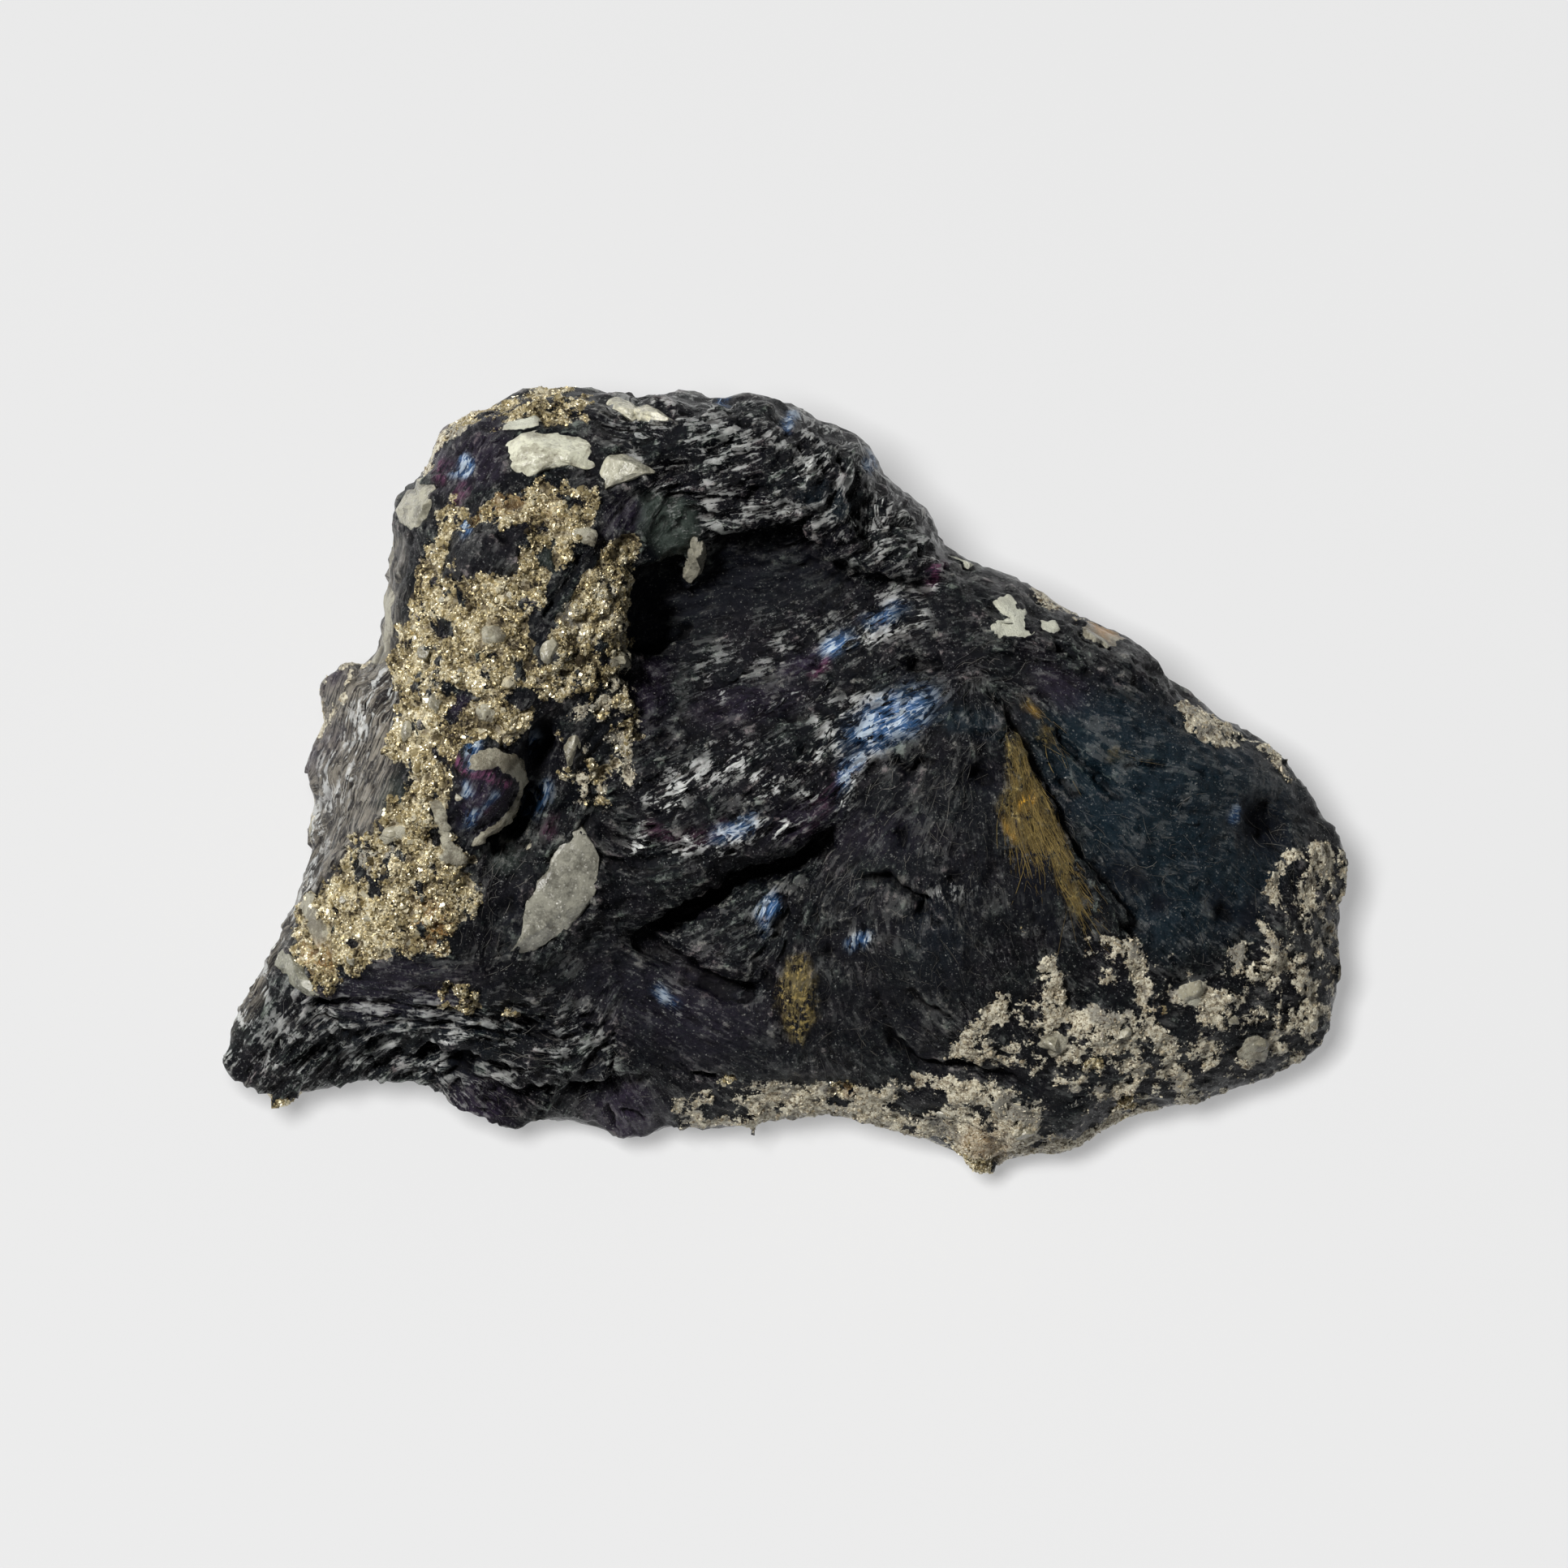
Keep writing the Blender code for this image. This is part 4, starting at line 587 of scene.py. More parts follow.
CRACKS = (
    Crack(((-12.6, -12.4), (-11.0, -12.0), (-9.0, -10.9), (-6.0, -9.0), (-3.0, -7.4), (-1.0, -7.0), (1.0, -6.2),
           (3.0, -4.9), (4.6, -3.3)), 0.55, 1.5, 0.5),
    Crack(((-13.2, -12.6), (-10.5, -13.2), (-8.6, -14.4), (-6.4, -15.9), (-3.0, -17.0), (-1.5, -16.4)), 0.55, 1.1, 0.3),
    Crack(((-9.0, -15.6), (-6.5, -16.7), (-4.0, -17.7), (-2.4, -17.5)), 0.4, 0.8),
    Crack(((0.3, -8.6), (0.2, -10.2), (-0.6, -12.4), (-1.4, -12.8)), 0.35, 0.5, 0.2),
    Crack(((-2.2, -14.2), (-1.6, -15.6), (-0.6, -18.6), (0.2, -21.8)), 0.35, 0.5),
    Crack(((6.2, -7.7), (8.2, -7.6), (9.4, -8.3), (10.8, -9.4), (12.2, -10.0)), 0.4, 1.3, 0.35),
    Crack(((10.9, -9.9), (11.7, -10.9), (13.0, -11.8)), 0.35, 1.1, 0.2),
    Crack(((8.7, 2.2), (9.4, 1.3), (10.4, 1.0), (11.2, 1.8), (12.4, 1.5)), 0.35, 0.9),
    Crack(((8.0, -19.8), (9.2, -21.4), (11.0, -22.9), (14.5, -23.0), (18.0, -24.0), (20.5, -25.2)), 0.4, 0.8, 0.2),
    Crack(((10.0, -16.5), (11.4, -18.2), (14.0, -19.6)), 0.3, 0.7),
    Crack(((7.4, -15.0), (7.8, -18.0), (9.0, -20.6), (10.8, -22.0)), 0.3, 0.35, 0.2),
    Crack(((15.4, 8.4), (16.0, 8.0), (17.4, 7.0), (18.8, 5.2), (19.8, 3.2), (21.2, 0.4), (23.0, -3.0), (24.6, -5.8),
           (26.6, -8.2), (28.6, -10.6), (30.4, -13.0)), 0.4, 0.8, -0.45),
    Crack(((22.0, 4.8), (23.6, 2.6), (25.4, 0.8), (27.0, -0.9), (28.0, -1.1)), 0.32, 1.0),
    Crack(((22.6, 0.4), (23.6, -0.8), (24.4, -1.0)), 0.25, 0.6),
    Crack(((27.6, 1.2), (29.4, 1.6), (31.6, 1.4)), 0.22, 0.5),
    Crack(((15.0, 4.2), (17.0, 4.2), (19.0, 4.7)), 0.3, 0.6),
    Crack(((-12.2, 17.5), (-10.4, 17.8), (-8.8, 18.3), (-7.9, 18.6)), 0.45, 0.8, 0.5),
    Crack(((-6.2, 20.1), (-3.0, 20.4), (-1.2, 20.6), (1.0, 21.4), (2.0, 19.8), (3.4, 18.3), (5.6, 17.4)), 0.38, 0.8, 0.4),
    Crack(((-12.7, 11.2), (-11.4, 11.1), (-10.2, 11.2), (-8.6, 12.2), (-7.4, 13.2)), 0.35, 1.1, -0.3),
    Crack(((-12.6, 12.0), (-12.4, 14.8), (-12.0, 17.2)), 0.5, 0.4, 0.5),
    Crack(((-4.2, 23.1), (-3.2, 23.3), (-2.6, 24.4)), 0.35, 1.0),
    Crack(((-6.2, 27.0), (-5.0, 27.6), (-3.0, 28.1)), 0.35, 0.9, 0.3),
    Crack(((5.6, 22.8), (6.2, 21.0), (7.2, 20.0), (7.4, 19.2)), 0.45, 1.0),
    Crack(((8.4, 21.0), (9.4, 21.4), (10.2, 21.2)), 0.25, 0.7),
    Crack(((6.6, 17.2), (8.6, 16.3), (11.0, 16.2), (12.6, 16.8), (13.6, 16.7)), 0.4, 0.8, 0.4),
    Crack(((6.8, 14.6), (7.8, 14.5), (8.8, 14.6)), 0.28, 0.8),
    Crack(((10.3, 10.6), (11.2, 9.9), (12.2, 10.0), (12.8, 10.4)), 0.45, 1.0, 0.3),
    Crack(((-20.4, 0.6), (-20.9, -1.4), (-21.8, -3.4), (-23.8, -5.2)), 0.55, 1.5),
    Crack(((-23.8, -5.6), (-22.4, -5.4), (-20.4, -4.9)), 0.4, 0.9),
    Crack(((-15.2, -3.4), (-13.6, -4.5), (-12.0, -4.8)), 0.3, 0.6),
    Crack(((-15.4, -5.8), (-13.2, -6.4), (-12.0, -7.8)), 0.3, 0.7),
    Crack(((-38.6, -17.6), (-37.0, -18.0)), 0.4, 0.9, 0.4),
    Crack(((-39.0, -17.4), (-34.0, -17.9), (-29.0, -18.2), (-24.0, -19.2), (-19.0, -19.9)), 0.4, 0.6, 0.3),
    Crack(((-36.5, -22.6), (-33.0, -21.0), (-28.0, -20.0), (-22.0, -20.4), (-17.5, -20.9)), 0.4, 0.7, 0.4),
    Crack(((-34.6, -24.4), (-32.0, -22.4), (-28.6, -22.0), (-25.0, -22.5), (-20.5, -24.0)), 0.4, 0.8, 0.4),
    Crack(((-24.5, -25.0), (-20.0, -25.2), (-16.0, -24.6), (-13.0, -23.8), (-10.2, -24.3)), 0.4, 0.8, 0.5),
    Crack(((-14.8, -26.2), (-14.2, -27.6), (-13.5, -29.0)), 0.25, 0.9),
    Crack(((-13.5, -26.9), (-12.2, -27.0), (-11.4, -27.6)), 0.2, 0.6),
    Crack(((-7.8, -24.1), (-6.6, -23.8), (-5.6, -24.1)), 0.28, 0.9),
    Crack(((-15.4, 25.6), (-17.5, 25.2), (-20.0, 25.3)), 0.35, 0.5),
    Crack(((-24.5, -4.8), (-22.8, -4.4)), 0.4, 0.7),
    Crack(((27.4, -11.4), (28.6, -11.9), (29.2, -12.6)), 0.35, 0.8),
    Crack(((-19.9, 13.2), (-18.8, 15.2), (-17.6, 17.0)), 0.22, 0.5),
    Crack(((-18.6, 14.8), (-17.2, 17.0), (-16.2, 18.8)), 0.2, 0.4),
)
LUMPS = (
    Spot(1.4, -7.9, 0.55, 1.2, 0.0, 0.7), Spot(-23.6, 24.2, 0.5, 1.1, 0.0, 0.4), Spot(-24.0, 19.2, 2.2, 1.4, 15.0, 0.6),
    Spot(-1.2, -10.4, 0.8, 1.6, 70.0, 0.4), Spot(0.3, -10.4, 0.5, 1.2, 60.0, 0.4), Spot(-24.4, 0.4, 1.9, 1.2, 95.0, 0.7),
    Spot(23.0, -27.6, 1.2, 1.3, -20.0, 0.5), Spot(19.0, -28.6, 1.3, 1.1, 0.0, 0.6), Spot(15.0, -25.6, 1.1, 1.3, 0.0, 0.6),
    Spot(15.4, -30.2, 1.2, 1.3, -40.0, 0.5), Spot(-23.9, 12.1, 0.8, 1.1, 0.0, 0.5), Spot(33.2, -17.0, 1.0, 1.6, 25.0, 0.5),
    Spot(-16.3, 20.3, 0.8, 1.2, -30.0, 0.4), Spot(-28.2, 26.2, 0.5, 1.8, 80.0, 0.3),
)
PITS = (
    Spot(-28.3, 12.6, 0.8, 1.5, 0.0, 0.9), Spot(-19.8, 3.2, 1.0, 1.9, 80.0, 1.2), Spot(-37.2, -10.2, 0.5, 1.5, -70.0, 0.9),
    Spot(-35.0, -13.0, 0.6, 1.2, 0.0, 0.8), Spot(-28.8, -4.6, 0.7, 1.2, 0.0, 0.9), Spot(-17.8, 9.0, 0.5, 1.2, 20.0, 0.9),
    Spot(-22.6, 2.9, 0.4, 1.2, 0.0, 0.6), Spot(-30.2, 6.8, 0.4, 1.2, 0.0, 0.7), Spot(-27.4, -16.8, 0.5, 1.3, 90.0, 0.7),
    Spot(16.2, 0.5, 0.7, 1.6, -50.0, 0.8), Spot(9.7, -4.5, 0.5, 1.4, 90.0, 0.9), Spot(39.6, -3.0, 1.2, 1.6, -60.0, 0.9),
    Spot(-13.3, 8.9, 0.5, 1.4, 0.0, 0.7), Spot(-25.0, 16.1, 0.3, 1.3, 90.0, 0.7), Spot(-22.9, 19.9, 0.4, 1.3, 0.0, 0.6),
    Spot(-37.8, -18.0, 0.5, 1.8, 0.0, 0.8), Spot(-26.6, -23.0, 0.8, 1.6, 0.0, 0.8), Spot(28.8, -11.8, 0.6, 1.4, -40.0, 0.8),
    Spot(36.2, -10.6, 0.6, 1.8, -50.0, 0.7), Spot(14.0, -7.7, 0.5, 1.2, 0.0, 0.6), Spot(-2.3, 24.2, 0.4, 1.3, 0.0, 0.5),
)


class Skin:
    """What the surface of the lump is like at given places: how far it is raised, and what covers it."""

    def __init__(self, places, facing, foliation):
        self.places = places
        self.facing = facing
        uv = places[:, :2]
        wander = np.stack([smooth_noise(places / 1.4, seed) for seed in (31, 32)], axis=1)
        self.uv = uv + 0.45 * wander
        self.angle = foliation.angle(uv)
        self.show = ramp(facing, 0.05, 0.45)
        self.masks()

    def speckle(self, size, seed, octaves=3):
        return rough_noise(self.places / size, seed, octaves, 0.6)

    def masks(self):
        """The cover of each mineral and colour, and of the painted shadow and highlights, between 0 and 1."""
        uv = self.uv
        fade = ramp(self.facing, -0.10, 0.25)
        self.quartz = ramp(covered(uv, QUARTZ) + 0.30 * self.speckle(1.1, 40), 0.42, 0.58) * fade
        pyrite = covered(uv, PYRITE) - covered(uv, PYRITE_GAPS) - 0.16 + 1.50 * self.speckle(1.7, 41, 4) + 0.50 * self.speckle(4.5, 45, 2) + 0.45 * self.speckle(0.9, 47, 2)
        pyrite *= ramp(covered(uv, PYRITE), 0.02, 0.25)
        self.pyrite = ramp(pyrite, 0.40, 0.54) * (1.0 - self.quartz)
        cream = covered(uv, CREAM) * (1.0 + 0.30 * covered(uv, CREAM_BLOBS))
        cream -= 0.34 * covered(uv, CREAM_GAPS)
        cream += 0.95 * self.speckle(2.3, 43, 4) + 0.30 * self.speckle(0.9, 46, 2) - 0.04
        cream += 0.30 * ramp(uv[:, 0], 34.0, 42.0) * self.drawn_out(smooth_noise, 0.6, 2.4, 44, 2.0)
        underside = 1.0 - ramp(self.facing, -0.25, 0.05)
        cream *= ramp(covered(uv, CREAM), 0.08, 0.35) * (1.0 - 0.5 * underside)
        self.cream = ramp(cream, 0.46, 0.58) * (1.0 - self.quartz) * (1.0 - self.pyrite)
        self.bare = (1.0 - self.pyrite) * (1.0 - self.cream) * (1.0 - self.quartz)
        self.covers = {
            "quartz_cover": self.quartz,
            "pyrite_field": pyrite,
            "cream_field": cream,
            "teal": covered(uv, TEAL),
            "violet": covered(uv, VIOLET),
            "sky": covered(uv, BLUE_AND_PAINTED_GLINT),
            "dark_and_painted_shadow": covered(uv, DARK_AND_PAINTED_SHADOW),
            "yellow": covered(uv, YELLOW),
            "rust": covered(uv, RUST),
            "pale_green": covered(uv, PALE_GREEN),
            "gleam": covered(uv, GLEAM),
            "white_quartz": covered(uv, WHITE_QUARTZ),
            "magenta": covered(uv, MAGENTA),
            "flank": self.flank(),
        }
        for name in ("teal", "violet", "sky", "yellow", "rust", "pale_green", "white_quartz", "magenta", "gleam"):
            self.covers[name] = self.covers[name] * fade
        self.covers["gleam"] += 0.05 * (1.0 - fade)
        self.covers["silky"] = self.silky()

    def flank(self):
        """The steep flank on the left, pale partly by painted light, and how far it covers."""
        outline = (
            (-31.0, 20.0), (-32.0, 10.0), (-31.6, 2.0), (-33.0, -3.0), (-36.0, -6.0), (-39.0, -9.5), (-41.0, -14.0),
            (-43.0, -17.5), (-48.0, -25.0), (-42.0, -5.0), (-42.0, 12.0), (-34.0, 12.0), (-34.0, 22.0),
        )
        return ramp(depth_inside(self.uv, outline), -0.8, 0.8)

    def silky(self):
        """How far the covellite shows long silky streaks, between 0 and 1."""
        covers = self.covers
        total = covers["gleam"] + covers["flank"] + 0.6 * covered(self.uv, WAVY) + 0.7 * covers["yellow"]
        return np.clip(total + 0.5 * covers["sky"] + 0.15 * covers["teal"], 0.0, 1.0)

    def drawn_out(self, measure, width, length, seed, deep):
        """A measure drawn out along the foliation: made for a few set angles, then blended."""
        wave = 0.5 * smooth_noise(self.places / 2.6, seed + 50)
        turn = self.angle / math.pi * LEAF_TURNS
        total = np.zeros(len(self.places))
        for number in range(LEAF_TURNS):
            gap = np.abs((turn - number + 0.5 * LEAF_TURNS) % LEAF_TURNS - 0.5 * LEAF_TURNS)
            share = ramp(gap, 0.75, 0.25)
            near = share > 0.0
            u, v, w = self.places[near].T
            cosine, sine = math.cos(math.pi * number / LEAF_TURNS), math.sin(math.pi * number / LEAF_TURNS)
            along = (u * cosine + v * sine) / length
            across = (v * cosine - u * sine + wave[near]) / width
            total[near] += share[near] * measure(np.stack([along, across, w / deep], axis=1), seed)
        return total

    def ridges(self, width, length, seed):
        """Ridges that run with the foliation, between about -1 and 1."""
        def ridged(places, seed):
            return 1.0 - 2.0 * np.minimum(1.0, np.abs(smooth_noise(places, seed)) * 2.2)

        return self.drawn_out(ridged, width, length, seed, length)

    def ledges(self, width, length, seed):
        """Overlapping leaves of the foliation, each stepping down to the next."""
        def leaved(places, seed):
            _, away, number = scattered_cells(places, seed)
            lift = (number % 97) / 97.0 - 0.5
            lean = (number // 97 % 89) / 89.0 - 0.5
            dip = (number // 8633 % 83) / 83.0 - 0.5
            return lift + 1.4 * lean * away[:, 1] + 0.8 * dip * away[:, 0]

        return self.drawn_out(leaved, width, length, seed, 4.0)

    def lamination(self):
        """Layers seen edge on where the lump is broken across, on the flank and underside."""
        level = np.stack([self.places[:, 0] / 7.0, self.places[:, 1] / 7.0, self.places[:, 2] / 0.9], axis=1)
        chips = scattered_cells(self.places / (3.2, 3.2, 1.4), 61)[2] % 101 / 101.0 - 0.5
        return 0.16 * smooth_noise(level, 60) + 0.40 * chips

    def breaks(self):
        """Broad flat breaks on the underside, each leaning its own way."""
        _, away, number = scattered_cells(self.places / (9.0, 9.0, 7.0), 63)
        lift = (number % 97) / 97.0 - 0.5
        lean_u = (number // 97 % 89) / 89.0 - 0.5
        lean_v = (number // 8633 % 83) / 83.0 - 0.5
        under = 1.0 - ramp(self.facing, -0.45, -0.10)
        return under * (0.7 * lift + 2.6 * (lean_u * away[:, 0] + lean_v * away[:, 1]))

    def grains(self, size, seed):
        gap = scattered_cells(self.places / size, seed)[0]
        return 1.0 - 2.0 * np.clip(gap, 0.0, 1.0)

    def raise_by(self):
        """How far the skin stands out from the smooth lump, in millimetres."""
        crumple = 0.26 + covered(self.uv, CRUMPLED)
        wavy = covered(self.uv, WAVY)
        folds = 1.9 * (0.22 - np.abs(self.speckle(4.6, 70, 4)))
        leaf = crumple * (0.62 * self.ledges(2.3, 6.5, 71) + 0.20 * self.ledges(0.9, 3.6, 75) + folds)
        leaf += crumple * 0.22 * self.ridges(1.3, 6.0, 79) + 0.10 * self.ridges(0.7, 4.4, 72)
        leaf += self.covers["gleam"] * 0.30 * self.ridges(0.9, 4.0, 88) + 0.16 * self.speckle(0.9, 89)
        leaf += wavy * (0.50 * self.ridges(1.6, 10.0, 76) + 0.24 * self.ridges(0.7, 6.0, 77))
        leaf += 0.34 * self.speckle(2.6, 74) * crumple + 0.26 * self.covers["gleam"] * self.ledges(0.6, 3.4, 78)
        granular = 0.40 * self.grains(3.2, 82) + 0.42 * self.grains(1.7, 80) + 0.34 * self.grains(0.85, 81) + 0.85 * self.speckle(2.4, 83)
        crust = 0.18 + 0.26 * self.grains(1.2, 84) + 0.75 * self.speckle(2.4, 85, 4)
        glassy = 0.42 + 0.20 * self.speckle(1.2, 86)
        face = self.bare * leaf + self.pyrite * granular + self.cream * crust + self.quartz * glassy
        side = self.lamination() - 0.06 + 0.65 * self.speckle(2.6, 87, 4) + self.breaks()
        raised = self.show * (face + self.marks()) + (1.0 - self.show) * side
        return raised + (1.0 - ramp(self.facing, 0.3, 0.7)) * 0.7 * sum(spot.cover(self.places[:, :2]) for spot in RIM)

    def marks(self):
        """The fine cracks, ledges, lumps and pits."""
        total = np.zeros(len(self.uv))
        uv = self.places[:, :2] + 0.35 * np.stack([smooth_noise(self.places / 1.1, seed) for seed in (91, 92)], axis=1)
        for crack in CRACKS:
            near = close_by(uv, crack.course, 3.0 * crack.reach)
            gap, side, share = course_gap(uv[near], crack.course)
            fade = ramp(np.minimum(share, 1.0 - share), -0.03, 0.15)
            cut = crack.depth * np.exp(-((gap / crack.half_width) ** 2))
            step = crack.lift * side * np.tanh(gap / crack.half_width) * np.exp(-gap / crack.reach)
            total[near] += fade * (step - cut)
        for lump in LUMPS:
            total += lump.cover(uv)
        for pit in PITS:
            total -= pit.cover(uv)
        return total


def write_streaks(mesh, places, steep, centres, angle, shift):
    """Gives each corner its way along and across the foliation, measured from the middle of its own patch."""
    away = places[:, :2] - centres
    wave = 0.14 * smooth_noise(places / 1.5, 34) + 0.03 * smooth_noise(places / 0.5, 35) + 0.9 * steep * places[:, 2]
    write_measure(mesh, "along", away[:, 0] * np.cos(angle) + away[:, 1] * np.sin(angle) + shift[:, 0], "CORNER")
    write_measure(mesh, "across", away[:, 1] * np.cos(angle) - away[:, 0] * np.sin(angle) + shift[:, 1] + wave, "CORNER")


def streak_patches(places, foliation):
    """The middle, foliation angle and shift of the small patch of streaks that each place lies in."""
    _, away, number = scattered_cells(places / STREAK_PATCH, 62)
    centres = (places - STREAK_PATCH * away)[:, :2]
    shift = np.stack([number % 101, number // 101 % 103], axis=1) * 0.7
    return centres, foliation.angle(centres), shift


# Meshes
def deselect():
    bpy.ops.object.select_all(action="DESELECT")


def activate(piece):
    deselect()
    piece.select_set(True)
    bpy.context.view_layer.objects.active = piece


def copy_of(node, name):
    """A new piece that starts as a CAD node's own shape, with its corners merged."""
    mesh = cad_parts[node].data.copy()
    mesh.materials.clear()
    piece = bpy.data.objects.new(name, mesh)
    bpy.context.scene.collection.objects.link(piece)
    activate(piece)
    bpy.ops.object.mode_set(mode="EDIT")
    bpy.ops.mesh.select_all(action="SELECT")
    bpy.ops.mesh.remove_doubles(threshold=1e-6)
    bpy.ops.object.mode_set(mode="OBJECT")
    return piece


def corner_array(mesh):
    points = np.empty(3 * len(mesh.vertices))
    mesh.vertices.foreach_get("co", points)
    return points.reshape(-1, 3)


def triangle_array(mesh):
    corners = np.empty(3 * len(mesh.polygons), np.int32)
    mesh.polygons.foreach_get("vertices", corners)
    return corners.reshape(-1, 3)


def mesh_from(name, points, triangles, smooth=False):
    """A new piece made of triangles."""
    mesh = bpy.data.meshes.new(name)
    mesh.vertices.add(len(points))
    mesh.vertices.foreach_set("co", np.asarray(points, np.float32).ravel())
    mesh.loops.add(3 * len(triangles))
    mesh.loops.foreach_set("vertex_index", np.asarray(triangles, np.int32).ravel())
    mesh.polygons.add(len(triangles))
    mesh.polygons.foreach_set("loop_start", 3 * np.arange(len(triangles), dtype=np.int32))
    mesh.polygons.foreach_set("use_smooth", np.full(len(triangles), smooth))
    mesh.update(calc_edges=True)
    mesh.validate()
    piece = bpy.data.objects.new(name, mesh)
    bpy.context.scene.collection.objects.link(piece)
    return piece


def write_measure(mesh, name, values, domain="POINT"):
    mesh.attributes.new(name, "FLOAT", domain).data.foreach_set("value", np.asarray(values, np.float32))


def outward_normals(points, triangles):
    """The way out of the surface at each corner, and the area of each triangle."""
    first, second, third = (points[triangles[:, corner]] for corner in range(3))
    cross = np.cross(second - first, third - first)
    normals = np.stack(
        [sum(np.bincount(triangles[:, corner], cross[:, axis], len(points)) for corner in range(3)) for axis in range(3)],
        axis=1,
    )
    lengths = np.maximum(np.linalg.norm(normals, axis=1, keepdims=True), 1e-20)
    return normals / lengths, 0.5 * np.linalg.norm(cross, axis=1)


def neighbours(triangles):
    """Every edge both ways, as the corners it starts and ends at."""
    first, last = triangles, np.roll(triangles, -1, axis=1)
    count = triangles.max() + 1
    pairs = np.unique((np.minimum(first, last).astype(np.int64) * count + np.maximum(first, last)).ravel())
    low, high = pairs // count, pairs % count
    return np.concatenate([low, high]), np.concatenate([high, low])


def smoothed(points, edges, melts, swells=0):
    """Each corner drawn to the middle of its neighbours; a round that also swells keeps the size."""
    starts, ends = edges
    counts = np.bincount(starts, minlength=len(points))[:, None]
    for share in [0.6] * melts + [0.6, -0.6] * swells:
        middles = np.stack([np.bincount(starts, points[ends, axis], len(points)) for axis in range(3)], axis=1) / counts
        points = points + share * (middles - points)
    return points


def inside_box(points):
    """Points kept to the reach of the solids, with a small margin round the sides."""
    low, high = (np.array(corner) for corner in CAD_BOX)
    return np.clip(points, low - MM * BOX_MARGIN, high + MM * BOX_MARGIN)


def crystal_trees():
    """The crystals' own solids, for measuring how near a place is to them."""
    trees = []
    for name in CRYSTALS:
        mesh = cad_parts[name].data
        corners = [vert.co for vert in mesh.vertices]
        trees.append(BVHTree.FromPolygons(corners, [tuple(face.vertices) for face in mesh.polygons]))
    return trees


def collar(points, crystals):
    """How much the skin climbs round the crystals, from 0 to 1."""
    total = np.zeros(len(points))
    reach = 2.5 * COLLAR_WIDTH * MM
    for tree in crystals:
        box = np.array([tree.find_nearest(point)[0] for point in (points.min(axis=0), points.max(axis=0))])
        for number in np.flatnonzero(np.linalg.norm(points - box.mean(axis=0), axis=1) < 14.0 * MM + reach):
            gap = tree.find_nearest(points[number], reach)[3]
            if gap is not None:
                total[number] = max(total[number], math.exp(-((gap / (COLLAR_WIDTH * MM)) ** 2)))
    return total


def close_pockets(lump, crystals):
    """Takes out the walls of the crystal pockets and closes the openings."""
    bm = bmesh.new()
    bm.from_mesh(lump.data)
    near = set()
    for vert in bm.verts:
        if any(tree.find_nearest(vert.co, POCKET_REACH * MM)[0] is not None for tree in crystals):
            near.add(vert)
    walls = [face for face in bm.faces if all(vert in near for vert in face.verts)]
    bmesh.ops.delete(bm, geom=walls, context="FACES")
    rims = [edge for edge in bm.edges if edge.is_boundary]
    bmesh.ops.holes_fill(bm, edges=rims, sides=0)
    bmesh.ops.triangulate(bm, faces=bm.faces[:])
    bm.to_mesh(lump.data)
    bm.free()


def mesh_finely(lump):
    """Meshes the lump evenly, twice as finely where it faces out of the show face."""
    activate(lump)
    even = lump.modifiers.new("even", "REMESH")
    even.mode = "VOXEL"
    even.voxel_size = SKIN_GRID * MM
    bpy.ops.object.modifier_apply(modifier=even.name)
    bpy.ops.object.mode_set(mode="EDIT")
    bpy.ops.mesh.select_all(action="DESELECT")
    bpy.ops.object.mode_set(mode="OBJECT")
    outward = Vector(FACE_AXES[2])
    for face in lump.data.polygons:
        face.select = face.normal.dot(outward) > FINE_FACING
    bpy.ops.object.mode_set(mode="EDIT")
    bpy.ops.mesh.select_mode(type="FACE")
    bpy.ops.mesh.subdivide(number_cuts=1)
    bpy.ops.mesh.select_all(action="SELECT")
    bpy.ops.mesh.quads_convert_to_tris(quad_method="BEAUTY", ngon_method="BEAUTY")
    bpy.ops.object.mode_set(mode="OBJECT")


def make_lump(foliation):
    """The skin of the lump, in one closed piece."""
    lump = copy_of("covellite_mass", "covellite_skin")
    crystals = crystal_trees()
    close_pockets(lump, crystals)
    mesh_finely(lump)
    points = corner_array(lump.data)
    triangles = triangle_array(lump.data)
    bpy.data.objects.remove(lump)
    edges = neighbours(triangles)
    seat = points[:, 2] < SEAT_THICKNESS * MM
    points = np.where(seat[:, None], points, smoothed(points, edges, MELT_ROUNDS, SMOOTHING_ROUNDS))
    normals, _ = outward_normals(points, triangles)
    skin = Skin(to_face(points), normals @ FACE_AXES[2], foliation)
    raised = skin.raise_by() + collar(points, crystals) * (COLLAR_HEIGHT + 0.9 * skin.speckle(1.5, 95))
    raised = np.where(seat, 0.0, raised)
    points = inside_box(points + MM * raised[:, None] * normals)
    points[seat, 2] = CAD_BOX[0][2]
    # How far each corner stands out from or sinks below the skin round it; the finish turns this into painted highlight
    # on crests and painted shade in hollows
    hollow = np.einsum("ij,ij->i", points - smoothed(points, edges, RELIEF_ROUNDS), normals) / MM
    skin.covers["relief"] = np.clip(hollow / RELIEF_HEIGHT, -1.0, 1.0)
    lump = mesh_from("covellite_skin", points, triangles, smooth=True)
    for name, values in skin.covers.items():
        write_measure(lump.data, name, values)
    places = to_face(points)
    wobble = 0.5 * np.stack([smooth_noise(places / 0.9, seed) for seed in (36, 37, 38)], axis=1)
    patches = streak_patches((places + wobble)[triangles].mean(axis=1), foliation)
    steep = (1.0 - skin.show)[triangles.ravel()]
    write_streaks(lump.data, places[triangles.ravel()], steep, *(np.repeat(part, 3, axis=0) for part in patches))
    lump.data.materials.append(skin_finish())
    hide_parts("covellite_mass")
    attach(lump, "root")
    return lump, points, triangles, skin


